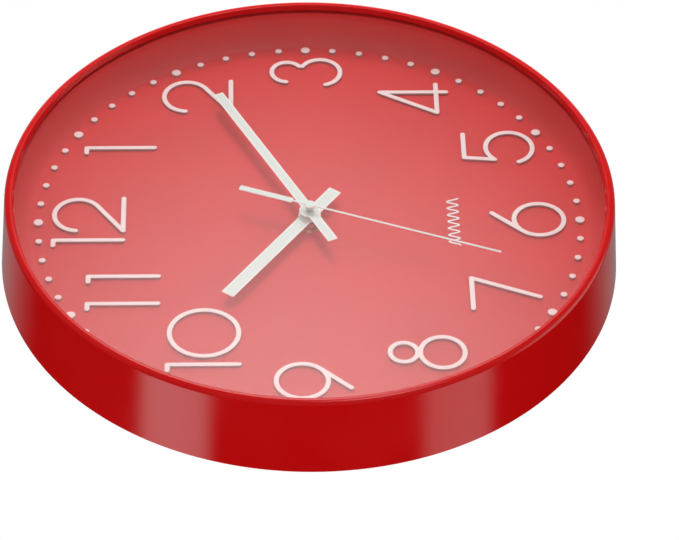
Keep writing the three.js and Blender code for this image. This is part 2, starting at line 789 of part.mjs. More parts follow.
function frontCase() {
  const shell = movementShell(splitHeight + splitGap, caseFront, innerFront, caseFront);
  const thirdEnd = level.thirdPinion[1] + 0.4;
  const thirdBoss = disc(1.5, thirdEnd, innerFront + 0.1, 10, ...thirdAt);
  const posts = bridgePosts.map(([x, y]) => disc(1.6, level.bridge[1] + seat, innerFront + 0.1, 10, x, y));
  const minutePost = disc(minutePostRadius, level.minuteWheel[0] - 0.3, innerFront + 0.1, 10, ...minuteAt);
  const settingEnd = level.minuteWheel[1] + 0.3;
  const settingBoss = disc(2, settingEnd, innerFront + 0.1, 10, ...settingAt);
  return cut(join([shell, thirdBoss, ...posts, minutePost, settingBoss]), [
    disc(stem.radius + seat, innerFront - 1, caseFront + 1, 16),
    disc(arborRadius + runningGap, thirdEnd - 1, thirdEnd + 2, 8, ...thirdAt),
    disc(shaftRadius + runningGap, settingEnd - 1, settingEnd + 1.5, 10, ...settingAt),
  ]);
}

function threadedStem() {
  const flangeTopZ = innerFront - seat;
  return join([
    collar(stem.flange, stem.bore, flangeTopZ - stem.flangeThickness, flangeTopZ, 16),
    collar(stem.radius, stem.bore, flangeTopZ - stem.flangeThickness, nutBase + nut.thickness - 0.2, 16),
  ]);
}

function trainBridge() {
  const outline = roundedRectangle(-21.5, 14.6, -4, 17.2, 2);
  const pivot = arborRadius + runningGap;
  return cut(prism(outline, ...level.bridge), [
    disc(secondsArborRadius + 0.2, level.bridge[0] - 1, level.bridge[1] + 1, 10),
    ...[fifthAt, rotorAt, thirdAt].map(([x, y]) =>
      disc(pivot, level.bridge[0] - 1, level.bridge[1] + 1, 8, x, y),
    ),
  ]);
}

// ---------------------------------------------------------------- stepping motor and circuit

const coil = { x: 21.5, low: -1, high: 15, armWidth: 3, coreWidth: 2.4, radius: 3, spool: 2, flange: 3.2 };

function stator() {
  const [rotorX, rotorY] = rotorAt;
  const [z0, z1] = level.stator;
  const end = coil.x + 2;
  return cut(
    join([
      box(rotorX - 4.7, rotorX + 4.7, coil.low, coil.high, z0, z1),
      box(rotorX, end, coil.low, coil.low + coil.armWidth, z0, z1),
      box(rotorX, end, coil.high - coil.armWidth, coil.high, z0, z1),
    ]),
    [disc(3.6, z0 - 1, z1 + 1, 20, rotorX, rotorY)],
  );
}

const coreLow = level.stator[1] + seat;
const coreHigh = coreLow + 0.8;
const coilZ = (coreLow + coreHigh) / 2;

function coilCore() {
  const half = coil.coreWidth / 2;
  return box(coil.x - half, coil.x + half, coil.low, coil.high, coreLow, coreHigh);
}

// A disc standing across the coil's own axis, which runs along y.
function coilDisc(radius, y0, y1, facets) {
  const body = disc(radius, y0, y1, facets).rotate([-90, 0, 0]);
  return body.translate([coil.x, 0, coilZ]);
}

function coilBobbin() {
  const low = coil.low + coil.armWidth + 0.4;
  const high = coil.high - coil.armWidth - 0.4;
  const gap = 0.2;
  const half = coil.coreWidth / 2 + gap;
  return cut(
    join([
      coilDisc(coil.spool, low, high, 12),
      coilDisc(coil.flange, low, low + 0.6, 12),
      coilDisc(coil.flange, high - 0.6, high, 12),
    ]),
    [box(coil.x - half, coil.x + half, low - 1, high + 1, coreLow - gap, coreHigh + gap)],
  );
}

function coilWinding() {
  const low = coil.low + coil.armWidth + 1.1;
  const high = coil.high - coil.armWidth - 1.1;
  const inside = coilDisc(coil.spool + 0.05, low - 1, high + 1, 12);
  return cut(coilDisc(coil.radius, low, high, 12), [inside]);
}

const board = { x0: -26.3, x1: -9.5, y0: -14.6, y1: 21.6, thickness: 0.8 };
const boardLow = innerBack + 0.4;
const boardHigh = boardLow + board.thickness;

function circuitBoard() {
  const outline = roundedRectangle(board.x0, board.x1, board.y0, board.y1, 1.5, 2);
  return prism(outline, boardLow, boardHigh);
}

function driverChip() {
  const steps = 4;
  const bead = { radius: 3.2, height: 1.1 };
  const dome = Array.from({ length: steps }, (_, i) => {
    const turn = (Math.PI / 2) * (i / steps);
    return [bead.radius * Math.cos(turn), boardHigh + seat + bead.height * Math.sin(turn)];
  });
  const profile = [[0, boardHigh + seat], ...dome, [0, boardHigh + seat + bead.height]];
  return spin(profile, 16).translate([-17.5, 13.5, 0]);
}

function crystalCan() {
  const radius = 1;
  const can = disc(radius, -3.1, 3.1, 12).rotate([-90, 0, 0]);
  return can.translate([-21.5, -3, boardHigh + seat + radius]);
}

// ---------------------------------------------------------------- battery and contacts

function alongX(body) {
  return body.rotate([0, 90, 0]).translate([0, cellY, cellZ]);
}

function batteryCell() {
  const half = battery.length / 2;
  const can = disc(battery.radius, -half, half - battery.nubLength, 24);
  const nub = disc(battery.nubRadius, half - battery.nubLength - 0.1, half, 12);
  return alongX(join([can, nub]));
}

const contact = { thickness: 0.35, height: 9, depth: 10 };

// A bent leaf, drawn in the x-z plane and drawn out along y.
function leaf(points) {
  const shape = new THREE.Shape(points.map(([x, z]) => new THREE.Vector2(x, z)));
  const geometry = new THREE.ExtrudeGeometry(shape, { depth: contact.height, bevelEnabled: false });
  return solid(geometry.rotateX(Math.PI / 2).translate(0, cellY + contact.height / 2, cellZ));
}

function batterySpring() {
  const wallX = -halfWidth + movement.wall + seat;
  const reach = -battery.length / 2 - 0.1;
  const half = contact.depth / 2;
  const t = contact.thickness;
  return leaf([
    [wallX, -half],
    [wallX + t, -half],
    [wallX + t, half - 1.2],
    [reach, half - 4.2],
    [reach, half - 3.6],
    [wallX + t, half],
    [wallX, half],
  ]);
}

function batteryPlate() {
  const wallX = halfWidth - movement.wall - seat;
  const half = contact.depth / 2;
  const t = contact.thickness;
  return leaf([
    [wallX - t, -half],
    [wallX, -half],
    [wallX, half],
    [wallX - 1, half],
    [wallX - 1, half - t],
    [wallX - t, half - t],
  ]);
}

// ---------------------------------------------------------------- hanger

const bossEnd = hanger.standoff + hanger.thickness + seat;
const plateCentreY = hanger.above - 3;

function hangerScrewPlaces() {
  return [-1, 1].map((side) => [(side * hanger.screwSpacing) / 2, plateCentreY]);
}

function hangerPlate() {
  const [low, high] = [hanger.standoff, hanger.standoff + hanger.thickness];
  const halfSlot = hanger.slotWidth / 2;
  const top = hanger.above - halfSlot;
  const entryY = hanger.above - hanger.slotLength;
  const outline = roundedRectangle(
    -hanger.width / 2,
    hanger.width / 2,
    plateCentreY - hanger.height / 2,
    plateCentreY + hanger.height / 2,
    hanger.corner,
  );
  return cut(prism(outline, low, high), [
    disc(hanger.entryRadius, low - 1, high + 1, 20, 0, entryY),
    box(-halfSlot, halfSlot, entryY, top, low - 1, high + 1),
    disc(halfSlot, low - 1, high + 1, 12, 0, top),
    ...hangerScrewPlaces().map(([x, y]) => disc(screw.hole, low - 1, high + 1, 10, x, y)),
  ]);
}

function hangerScrew() {
  const headTop = hanger.standoff - seat;
  const slot = 0.5;
  const headBack = headTop - screw.headHeight;
  const cross = [
    box(-slot / 2, slot / 2, -1.6, 1.6, headBack - 1, headBack + 0.9),
    box(-1.6, 1.6, -slot / 2, slot / 2, headBack - 1, headBack + 0.9),
  ];
  const head = spin(
    [
      [0, headBack],
      [screw.head - 0.8, headBack],
      [screw.head, headBack + 0.8],
      [screw.head, headTop],
      [0, headTop],
    ],
    16,
  );
  return cut(join([head, disc(screw.radius, headTop - 0.1, headTop + screw.length, 10)]), cross);
}

// ---------------------------------------------------------------- assembly

function place(mesh, [x, y]) {
  mesh.position.set(x, y, 0);
}

piece("case_ring", caseRing(), finish.red);
piece("lens", frontLens(), finish.clear);
piece("dial_pan", dialPan(), finish.dialRed);
placeNumerals();
piece("dial_mark", dialMark(), finish.numeral).position.y = -waveMark.below;

const boreGap = seat / 2;
const hourHand = piece("hour_hand", bladeHand(hourBlade, hourTop, hourPipe.radius + boreGap), finish.hand);
hourHand.rotation.z = -handAngle.hour;
const minuteHand = piece("minute_hand", bladeHand(minuteBlade, minuteTop, minuteTube.radius + boreGap), finish.hand);
minuteHand.rotation.z = -handAngle.minute;
piece("second_hand", secondHand(), finish.hand).rotation.z = -handAngle.second;

const stemClear = stem.radius + seat;
piece(
  "brass_washer",
  collar(washer.radius, stemClear, washerBase, washerBase + washer.thickness, 16),
  finish.brass,
);
piece(
  "brass_nut",
  prism(circle(nut.acrossFlats / Math.sqrt(3), 6), nutBase, nutBase + nut.thickness, [
    circle(stemClear, 16),
  ]),
  finish.brass,
);
piece(
  "rubber_washer",
  collar(rubber.radius, stemClear, caseFront + seat, caseFront + seat + rubber.thickness, 16),
  finish.rubber,
);

piece("movement_front_case", frontCase(), finish.blackPlastic);
piece("movement_rear_cover", rearCover(), finish.blackPlastic);
piece("threaded_stem", threadedStem(), finish.brass);
piece("train_bridge", trainBridge(), finish.whitePlastic);
place(piece("rotor_pinion", rotorPinion(), finish.whitePlastic), rotorAt);
place(piece("rotor_magnet", rotorMagnet(), finish.magnet), rotorAt);
place(piece("fifth_wheel", fifthWheel(), finish.whitePlastic), fifthAt);
piece("seconds_wheel", secondsWheel(), finish.steel);
place(piece("third_wheel", thirdWheel(), finish.whitePlastic), thirdAt);
piece("centre_wheel", centreWheel(), finish.whitePlastic);
piece("minute_tube", minuteTubePiece(), finish.brass);
place(piece("minute_wheel", minuteWheel(), finish.whitePlastic), minuteAt);
piece("hour_wheel", hourWheel(), finish.whitePlastic);
place(piece("setting_shaft", settingShaft(), finish.whitePlastic), settingAt);
place(piece("setting_knob", settingKnob(), finish.blackPlastic), settingAt);
piece("stator", stator(), finish.steel);
piece("coil_core", coilCore(), finish.steel);
piece("coil_bobbin", coilBobbin(), finish.whitePlastic);
piece("coil_winding", coilWinding(), finish.copper);
piece("circuit_board", circuitBoard(), finish.board);
piece("driver_chip", driverChip(), finish.blackPlastic);
piece("crystal_can", crystalCan(), finish.steel);
piece("battery", batteryCell(), finish.cell);
piece("battery_spring", batterySpring(), finish.steel);
piece("battery_plate", batteryPlate(), finish.steel);

piece("hanger_plate", hangerPlate(), finish.steel);
const [leftScrewPlace, rightScrewPlace] = hangerScrewPlaces();
place(piece("hanger_screw_left", hangerScrew(), finish.steel), leftScrewPlace);
place(piece("hanger_screw_right", hangerScrew(), finish.steel), rightScrewPlace);

clock.rotation.x = Math.PI / 2;
clock.position.z = -hanger.above;

const wallClock = new THREE.Group();
wallClock.add(clock);

export default wallClock;
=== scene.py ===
# Looks of the wall clock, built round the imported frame. Sizes are millimetres on the clock's
# own axes: x towards 3, y towards 12, z from the wall to the viewer. toFrame hangs them up.

import math

import bmesh
import bpy
import numpy as np
from mathutils import Matrix, Vector


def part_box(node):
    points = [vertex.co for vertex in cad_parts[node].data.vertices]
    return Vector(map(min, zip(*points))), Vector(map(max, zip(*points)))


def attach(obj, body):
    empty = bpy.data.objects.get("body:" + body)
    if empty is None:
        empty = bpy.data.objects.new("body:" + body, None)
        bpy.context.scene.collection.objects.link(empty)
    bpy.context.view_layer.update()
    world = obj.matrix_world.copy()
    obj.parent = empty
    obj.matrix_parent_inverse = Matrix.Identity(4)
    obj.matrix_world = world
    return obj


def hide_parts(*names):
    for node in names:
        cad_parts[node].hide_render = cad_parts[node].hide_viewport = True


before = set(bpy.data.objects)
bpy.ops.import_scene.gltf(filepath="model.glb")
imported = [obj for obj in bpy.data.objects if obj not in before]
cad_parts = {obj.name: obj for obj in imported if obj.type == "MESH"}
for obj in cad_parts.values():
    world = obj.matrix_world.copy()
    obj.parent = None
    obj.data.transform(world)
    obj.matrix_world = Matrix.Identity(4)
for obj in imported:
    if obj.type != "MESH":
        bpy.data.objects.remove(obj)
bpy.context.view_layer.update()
scene = bpy.context.scene

millimetre = 0.001
lensLow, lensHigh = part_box("lens")
axisHeight = (lensLow.z + lensHigh.z) / 2
toFrame = (
    Matrix.Translation((0, 0, axisHeight))
    @ Matrix.Rotation(math.pi / 2, 4, "X")
    @ Matrix.Scale(millimetre, 4)
)


def levels(node):  # how far a node's back and front stand from the wall
    low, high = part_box(node)
    return -high.y / millimetre, -low.y / millimetre


# ---- camera, lights, floor

view = {
    "place": (-1.3527, -1.2227, -0.0708),
    "right": (-0.0225, -0.0127, -0.9997),
    "up": (0.6736, -0.7390, -0.0057),
    "lens": 197.6,
}


def makeCamera():
    right, up = Vector(view["right"]), Vector(view["up"])
    turn = Matrix((right, up, right.cross(up))).transposed().to_4x4()
    data = bpy.data.cameras.new("camera")
    data.lens = view["lens"]
    data.clip_start, data.clip_end = 0.05, 50
    camera = bpy.data.objects.new("camera", data)
    camera.matrix_world = Matrix.Translation(view["place"]) @ turn
    scene.collection.objects.link(camera)
    scene.camera = camera


makeCamera()
scene.view_settings.view_transform = "Standard"
scene.view_settings.look = "None"


class Wire:
    # One socket of a node tree. Arithmetic on wires adds the Math nodes it needs.
    def __init__(self, tree, socket=None):
        self.tree = tree
        self.socket = socket

    def node(self, kind, sockets=None, out=0, stops=None, **settings):
        made = self.tree.nodes.new(kind)
        for key, value in settings.items():
            setattr(made, key, value)
        if stops:
            ramp = made.color_ramp
            ramp.elements[0].position, ramp.elements[-1].position = stops[0][0], stops[-1][0]
            for place, _ in stops[1:-1]:
                ramp.elements.new(place)
            for element, (_, colour) in zip(ramp.elements, stops):
                element.color = (*colour, 1)
        for key, value in (sockets or {}).items():
            if isinstance(value, Wire):
                self.tree.links.new(value.socket, made.inputs[key])
            else:
                made.inputs[key].default_value = value
        return Wire(self.tree, made.outputs[out])

    def maths(self, operation, first, second=0.0):
        return self.node("ShaderNodeMath", {0: first, 1: second}, operation=operation)

    def __add__(self, other):
        return self.maths("ADD", self, other)

    __radd__ = __add__

    def __mul__(self, other):
        return self.maths("MULTIPLY", self, other)

    __rmul__ = __mul__

    def __sub__(self, other):
        return self.maths("SUBTRACT", self, other)

    def __rsub__(self, other):
        return self.maths("SUBTRACT", other, self)

    def __truediv__(self, other):
        return self.maths("DIVIDE", self, other)

    def step(self, low, high):  # 0 below low, 1 above high, and smooth between
        sockets = {"Value": self, "From Min": low, "From Max": high}
        return self.node("ShaderNodeMapRange", sockets, interpolation_type="SMOOTHSTEP")

    def split(self, vector):  # the three numbers of a vector
        parts = self.node("ShaderNodeSeparateXYZ", {0: vector})
        return [Wire(self.tree, socket) for socket in parts.socket.node.outputs]

    def blend(self, first, second):  # this wire mixes two colours
        sockets = {0: self, 6: first, 7: second}
        return self.node("ShaderNodeMix", sockets, out=2, data_type="RGBA")


studio = {
    "background": 1.0,
    "diffuse": 0.63,
    "glossFront": 0.12,
    "glossBehind": 0.004,
    "sideGloss": 0.25,
    "sideEdge": (0.35, 0.70),
    "bands": ((-0.54, 0.56, 0.64, 1.65), (-0.49, 0.56, -0.68, 1.0), (0.04, -0.98, -0.18, 5.0)),
    "bandEdge": (0.978, 0.999),
    "farGloss": 0.5,
    "farEdge": (0.82, 0.95),
    "backGloss": 0.8,
    "backEdge": (0.78, 0.93),
}
# A soft pale window that the clear sheet mirrors: how far forward and how high it stands.
window = {"front": 0.72, "height": -0.010, "reach": (0.09, 0.117), "peak": 2.4, "fall": 2.5, "core": 0.35}


def makeWorld():
    world = bpy.data.worlds.new("studio")
    world.use_nodes = True
    world.node_tree.nodes.clear()
    start = Wire(world.node_tree)
    direction = start.node("ShaderNodeTexCoord")
    x, y, z = start.split(direction)
    front = y * -1.0
    ahead = front.step(-0.1, 0.1)
    gloss = ahead * studio["glossFront"] + studio["glossBehind"]
    gloss = gloss + (1.0 - ahead) * x.step(*studio["sideEdge"]) * studio["sideGloss"]
    for a, b, c, strength in studio["bands"]:
        towards = x * a + y * b + z * c
        gloss = gloss + towards.step(*studio["bandEdge"]) * strength
    gloss = gloss + x.step(*studio["farEdge"]) * studio["farGloss"]
    gloss = gloss + y.step(*studio["backEdge"]) * studio["backGloss"]
    across = (front - window["front"]) / window["reach"][0]
    along = (z - window["height"]) / window["reach"][1]
    off = across * across + along * along
    glow = start.maths("MAXIMUM", window["peak"] - off * window["fall"], 0.0)
    glow = glow + (1.0 - off.step(0.0, 0.15)) * window["core"]
    gloss = gloss + glow * x.step(0.2, 0.5)
    seen = start.node("ShaderNodeLightPath").socket.node.outputs
    isCamera, isDiffuse = (Wire(start.tree, seen[name]) for name in ("Is Camera Ray", "Is Diffuse Ray"))
    strength = isDiffuse * studio["diffuse"] + (1.0 - isDiffuse) * gloss
    strength = isCamera * studio["background"] + (1.0 - isCamera) * strength
    sky = start.node("ShaderNodeBackground", {"Color": (1, 1, 1, 1), "Strength": strength})
    result = world.node_tree.nodes.new("ShaderNodeOutputWorld")
    world.node_tree.links.new(sky.socket, result.inputs["Surface"])
    scene.world = world


makeWorld()

lamps = {
    "keyLamp": {"from": (0.60, 0.0, 0.80), "distance": 1.2, "size": 0.55, "power": 6.3},
    "wallLamp": {"from": (-0.95, 0.0, 0.1), "distance": 1.5, "size": 0.9, "power": 2.6},
    "rimLamp": {"from": (1.0, 0.0, 0.15), "distance": 1.3, "size": 0.4, "power": 14},
    "backLamp": {"from": (0.2, 0.55, -0.85), "distance": 1.4, "size": 0.8, "power": 9},
}


def makeLamps():
    for name, lamp in lamps.items():
        data = bpy.data.lights.new(name, "AREA")
        data.shape = "DISK"
        data.size, data.energy = lamp["size"], lamp["power"]
        made = bpy.data.objects.new(name, data)
        towards = (toFrame.to_3x3() @ Vector(lamp["from"])).normalized()
        middle = Vector((0, -0.02, axisHeight))
        place = Matrix.Translation(middle + towards * lamp["distance"])
        made.matrix_world = place @ towards.to_track_quat("Z", "Y").to_matrix().to_4x4()
        made.visible_glossy = False
        made.visible_camera = False
        scene.collection.objects.link(made)


makeLamps()
print("stage: camera, world and lamps")


# ---- finishes


def newFinish(name, **constants):
    material = bpy.data.materials.new(name)
    material.use_nodes = True
    shader = material.node_tree.nodes["Principled BSDF"]
    for socket, value in constants.items():
        shader.inputs[socket.replace("_", " ")].default_value = value
    start = Wire(material.node_tree)
    place = start.node("ShaderNodeTexCoord", out=3)
    return material, shader, start, place


def feed(shader, start, **wires):
    for socket, wire in wires.items():
        start.tree.links.new(wire.socket, shader.inputs[socket.replace("_", " ")])


def bump(start, height, distance, strength=1.0):
    sockets = {"Strength": strength, "Distance": distance, "Height": height}
    return start.node("ShaderNodeBump", sockets)


def noise(start, place, scale, detail=2.0, roughness=0.5):
    sockets = {"Vector": place, "Scale": scale, "Detail": detail, "Roughness": roughness}
    return start.node("ShaderNodeTexNoise", sockets)


def facingOut(start):  # 1 on faces that look straight out of the dial, 0 on upright sides
    normal = start.node("ShaderNodeNewGeometry", out=1)
    y = start.split(normal)[1]
    return y * -1.0


# Plain paints and plastics: two close colours, how rough, and the size of the grain in them.
paints = {
    "caseRed": {
        "dark": (0.59, 0.0006, 0.0012), "light": (0.61, 0.0009, 0.0016), "patch": 22,
        "rough": (0.12, 0.17), "grain": 900, "relief": 0.0000005, "coat": 0.25,
    },
    "dialRed": {
        "dark": (0.70, 0.032, 0.031), "light": (0.74, 0.037, 0.036), "patch": 30,
        "rough": (0.48, 0.60), "grain": 1500, "relief": 0.00002, "coat": 0.0,
    },
    "numeralWhite": {
        # side: painted shade, a darker colour on the upright sides of numerals, dots and wave mark, standing
        # in for their shadowed sides
        "dark": (0.94, 0.76, 0.74), "light": (0.97, 0.80, 0.78), "side": (0.46, 0.27, 0.26), "patch": 60,
        "rough": (0.34, 0.46), "grain": 1800, "relief": 0.000012, "coat": 0.1,
    },
    "blackPlastic": {
        "dark": (0.013, 0.013, 0.014), "light": (0.017, 0.017, 0.018), "patch": 90,
        "rough": (0.46, 0.62), "grain": 2600, "relief": 0.00006, "coat": 0.0,
    },
    "trainPlastic": {
        "dark": (0.72, 0.70, 0.62), "light": (0.84, 0.82, 0.75), "patch": 120,
        "rough": (0.36, 0.46), "grain": 1600, "relief": 0.00001, "coat": 0.0,
    },
    "rubberBlack": {
        "dark": (0.012, 0.012, 0.012), "light": (0.026, 0.025, 0.024), "patch": 200,
        "rough": (0.80, 0.92), "grain": 3200, "relief": 0.00005, "coat": 0.0,
    },
    "chipBlack": {
        "dark": (0.008, 0.008, 0.009), "light": (0.016, 0.016, 0.018), "patch": 300,
        "rough": (0.22, 0.34), "grain": 900, "relief": 0.00002, "coat": 0.3,
    },
    "magnetGrey": {
        "dark": (0.10, 0.10, 0.11), "light": (0.16, 0.16, 0.17), "patch": 400,
        "rough": (0.30, 0.46), "grain": 2600, "relief": 0.00002, "coat": 0.0,
    },
}


def makePaint(name, paint):
    material, shader, start, place = newFinish(name, Coat_Weight=paint["coat"], Coat_Roughness=0.12)
    patches = noise(start, place, paint["patch"], 3.0).step(0.3, 0.7)
    grain = noise(start, place, paint["grain"])
    low, high = paint["rough"]
    colour = patches.blend((*paint["dark"], 1), (*paint["light"], 1))
    # Painted shade: faces turned away from the dial front take the darker side colour.
    if "side" in paint:
        colour = facingOut(start).step(0.45, 0.9).blend((*paint["side"], 1), colour)
    feed(
        shader,
        start,
        Base_Color=colour,
        Roughness=patches * (high - low) + grain * 0.04 + low - 0.02,
        Normal=bump(start, grain, paint["relief"]),
    )
    return material


finishes = {name: makePaint(name, paint) for name, paint in paints.items()}

handPaintAndEdgeHighlight = {
    "flat": (0.74, 0.80, 0.74),
    # edge: painted highlight colour along the blade's sloped edges
    "edge": (0.97, 0.96, 0.93),
    "flatness": (0.985, 0.998),
    "relief": 0.000015,
}


def makeHandPaint():
    # Pale lacquer with a painted highlight: the sloped edges of the blade take a whiter colour than its flat
    # faces.
    material, shader, start, place = newFinish("handWhite", Roughness=0.34, Coat_Weight=0.15)
    flatness = facingOut(start).step(*handPaintAndEdgeHighlight["flatness"])
    grain = noise(start, place, 700, 3.0)
    feed(
        shader,
        start,
        Base_Color=flatness.blend((*handPaintAndEdgeHighlight["edge"], 1), (*handPaintAndEdgeHighlight["flat"], 1)),
        Roughness=grain * 0.12 + 0.30,
        Normal=bump(start, grain, handPaintAndEdgeHighlight["relief"]),
    )
    return material


finishes["handWhite"] = makeHandPaint()

# Metals: base colours, roughness, and the pitch of turned or drawn lines in them.
metals = {
    "brass": {
        "dark": (0.78, 0.52, 0.18), "light": (0.92, 0.68, 0.30), "rough": 0.2, "pitch": 5200, "turned": True,
    },
    "steel": {
        "dark": (0.44, 0.45, 0.47), "light": (0.62, 0.63, 0.65), "rough": 0.3, "pitch": 3600, "turned": False,
    },
}


def makeMetal(name, metal):
    material, shader, start, place = newFinish(name, Metallic=1.0)
    x, y, z = start.split(place)
    if metal["turned"]:
        off = z - axisHeight
        reach = start.maths("SQRT", x * x + off * off)
        lines = noise(start, start.node("ShaderNodeCombineXYZ", {0: reach, 1: y}), metal["pitch"])
    else:
        lines = noise(start, start.node("ShaderNodeCombineXYZ", {0: x * 0.03, 1: y, 2: z}), metal["pitch"])
    stain = noise(start, place, 160, 3.0).step(0.35, 0.7)
    feed(
        shader,
        start,
        Base_Color=stain.blend((*metal["dark"], 1), (*metal["light"], 1)),
        Roughness=lines * 0.14 + metal["rough"] - 0.05 + stain * 0.05,
        Normal=bump(start, lines, 0.00001, 0.5),
    )
    return material


for name, metal in metals.items():
    finishes[name] = makeMetal(name, metal)

zincPlate = {"dark": (0.58, 0.59, 0.59), "light": (0.68, 0.68, 0.66), "spangle": 260, "rough": (0.26, 0.44)}


def makeZinc():
    material, shader, start, place = newFinish("zincSteel", Metallic=1.0)
    cells = start.node("ShaderNodeTexVoronoi", {"Vector": place, "Scale": zincPlate["spangle"]}, out=1)
    shade = start.node("ShaderNodeSeparateXYZ", {0: cells})
    haze = noise(start, place, 90, 4.0)
    mixed = (shade * 0.6 + haze * 0.4).step(0.2, 0.8)
    low, high = zincPlate["rough"]
    feed(
        shader,
        start,
        Base_Color=mixed.blend((*zincPlate["dark"], 1), (*zincPlate["light"], 1)),
        Roughness=shade * (high - low) + low,
        Normal=bump(start, noise(start, place, 1400), 0.00001),
    )
    return material


finishes["zincSteel"] = makeZinc()

wire = {"dark": (0.36, 0.13, 0.05), "light": (0.82, 0.40, 0.20), "turns": 7000}


def makeWinding():
    # Fine enamelled wire wound round the coil, whose axis runs up the clock.
    material, shader, start, place = newFinish("copperWire", Metallic=1.0, Coat_Weight=0.5)
    z = start.node("ShaderNodeSeparateXYZ", {0: place}, out=2)
    wave = start.maths("SINE", z * wire["turns"]) * 0.5 + 0.5
    patches = noise(start, place, 500)
    feed(
        shader,
        start,
        Base_Color=(wave * 0.7 + patches * 0.3).blend((*wire["dark"], 1), (*wire["light"], 1)),
        Roughness=patches * 0.2 + 0.2,
        Normal=bump(start, wave, 0.0001),
    )
    return material


finishes["copperWire"] = makeWinding()

board = {"mask": (0.010, 0.085, 0.030), "track": (0.020, 0.150, 0.055), "pitch": 420}


def makeBoard():
    material, shader, start, place = newFinish("boardGreen", Coat_Weight=0.4)
    sockets = {"Vector": place, "Scale": board["pitch"]}
    cells = start.node("ShaderNodeTexVoronoi", sockets, feature="DISTANCE_TO_EDGE")
    tracks = cells.step(0.02, 0.09)
    feed(
        shader,
        start,
        Base_Color=tracks.blend((*board["track"], 1), (*board["mask"], 1)),
        Roughness=noise(start, place, 800) * 0.15 + 0.28,
        Normal=bump(start, tracks, 0.00003),
    )
    return material


finishes["boardGreen"] = makeBoard()

glazing = {"head": 0.043, "grazing": 0.9, "rough": 0.07}


def makeGlazing():
    # Clear sheet: what it mirrors grows as it is seen more edge-on.
    material, shader, start, place = newFinish("lensClear", Metallic=1.0)
    edge = start.node("ShaderNodeLayerWeight", {"Blend": 0.5}, out=1)
    mirrored = start.maths("POWER", edge, 5.0) * glazing["grazing"] + glazing["head"]
    smear = noise(start, place, 14, 3.0, 0.6)
    feed(
        shader,
        start,
        Base_Color=smear.blend((0.96, 0.97, 0.97, 1), (1, 1, 1, 1)),
        Roughness=smear * 0.05 + glazing["rough"],
    )
    clear = start.node("ShaderNodeBsdfTransparent")
    mix = start.node("ShaderNodeMixShader", {0: mirrored, 1: clear})
    start.tree.links.new(shader.outputs[0], mix.socket.node.inputs[2])
    start.tree.links.new(mix.socket, start.tree.nodes["Material Output"].inputs["Surface"])
    return material


finishes["lensClear"] = makeGlazing()
print("stage: finishes")


# ---- shape makers. Each returns a mesh in the clock's millimetres.


def polar(radius, degrees, x=0.0, y=0.0):
    turn = math.radians(degrees)
    return x + radius * math.cos(turn), y + radius * math.sin(turn)


def filleted(corners, steps=5):  # corners are (a, b) or (a, b, fillet radius)
    points = []
    for i, corner in enumerate(corners):
        at = Vector(corner[:2])
        if len(corner) == 2:
            points.append(tuple(at))
            continue
        before = (Vector(corners[i - 1][:2]) - at).normalized()
        after = (Vector(corners[(i + 1) % len(corners)][:2]) - at).normalized()
        half = before.angle(after) / 2
        centre = at + (before + after).normalized() * (corner[2] / math.sin(half))
        first = (at + before * (corner[2] / math.tan(half)) - centre).normalized()
        last = (at + after * (corner[2] / math.tan(half)) - centre).normalized()
        across = (last - first * last.dot(first)).normalized()
        for k in range(steps + 1):
            turn = (math.pi - 2 * half) * k / steps
            spot = centre + (first * math.cos(turn) + across * math.sin(turn)) * corner[2]
            points.append(tuple(spot))
    return points


def closedMesh(shape):
    bmesh.ops.remove_doubles(shape, verts=shape.verts, dist=1e-4)
    bmesh.ops.dissolve_degenerate(shape, edges=shape.edges, dist=1e-5)
    bmesh.ops.recalc_face_normals(shape, faces=shape.faces)
    mesh = bpy.data.meshes.new("shape")
    shape.to_mesh(mesh)
    shape.free()
    return mesh


def lathe(profile, segments=96, x=0.0, y=0.0):  # a closed [radius, z] outline spun about z
    shape = bmesh.new()
    rings = []
    for k in range(segments):
        turn = 360 * k / segments
        rings.append([shape.verts.new((*polar(r, turn, x, y), z)) for r, z in profile])
    for k in range(segments):
        here, there = rings[k], rings[(k + 1) % segments]
        for i in range(len(profile)):
            j = (i + 1) % len(profile)
            if profile[i][0] == 0 and profile[j][0] == 0:
                continue
            shape.faces.new((here[i], there[i], there[j], here[j]))
    return closedMesh(shape)


def plate(loops, low, high, edge=0.2, steps=2):  # outlines filled flat, with rounded edges
    curve = bpy.data.curves.new("plate", "CURVE")
    curve.dimensions, curve.fill_mode = "2D", "BOTH"
    curve.extrude = (high - low) / 2 - edge
    curve.bevel_depth, curve.bevel_resolution, curve.offset = edge, steps, -edge
    for loop in loops:
        spline = curve.splines.new("POLY")
        spline.points.add(len(loop) - 1)
        for point, (x, y) in zip(spline.points, loop):
            point.co = (x, y, 0, 1)
        spline.use_cyclic_u = True
    holder = bpy.data.objects.new("plate", curve)
    scene.collection.objects.link(holder)
    graph = bpy.context.evaluated_depsgraph_get()
    flat = bpy.data.meshes.new_from_object(holder.evaluated_get(graph), depsgraph=graph)
    bpy.data.objects.remove(holder)
    shape = bmesh.new()
    shape.from_mesh(flat)
    bmesh.ops.translate(shape, verts=shape.verts, vec=(0, 0, (low + high) / 2))
    return closedMesh(shape)


def circle(radius, count=64, x=0.0, y=0.0):
    return [polar(radius, 360 * k / count, x, y) for k in range(count)]


def rectangle(x0, x1, y0, y1, corner=0.0):
    corners = [(x0, y0, corner), (x1, y0, corner), (x1, y1, corner), (x0, y1, corner)]
    return filleted(corners) if corner else [c[:2] for c in corners]


def together(*meshes):
    shape = bmesh.new()
    for mesh in meshes:
        shape.from_mesh(mesh)
    whole = bpy.data.meshes.new("together")
    shape.to_mesh(whole)
    shape.free()
    return whole


# ---- node trees that repeat a shape round the axis, and that make one skin of several shells


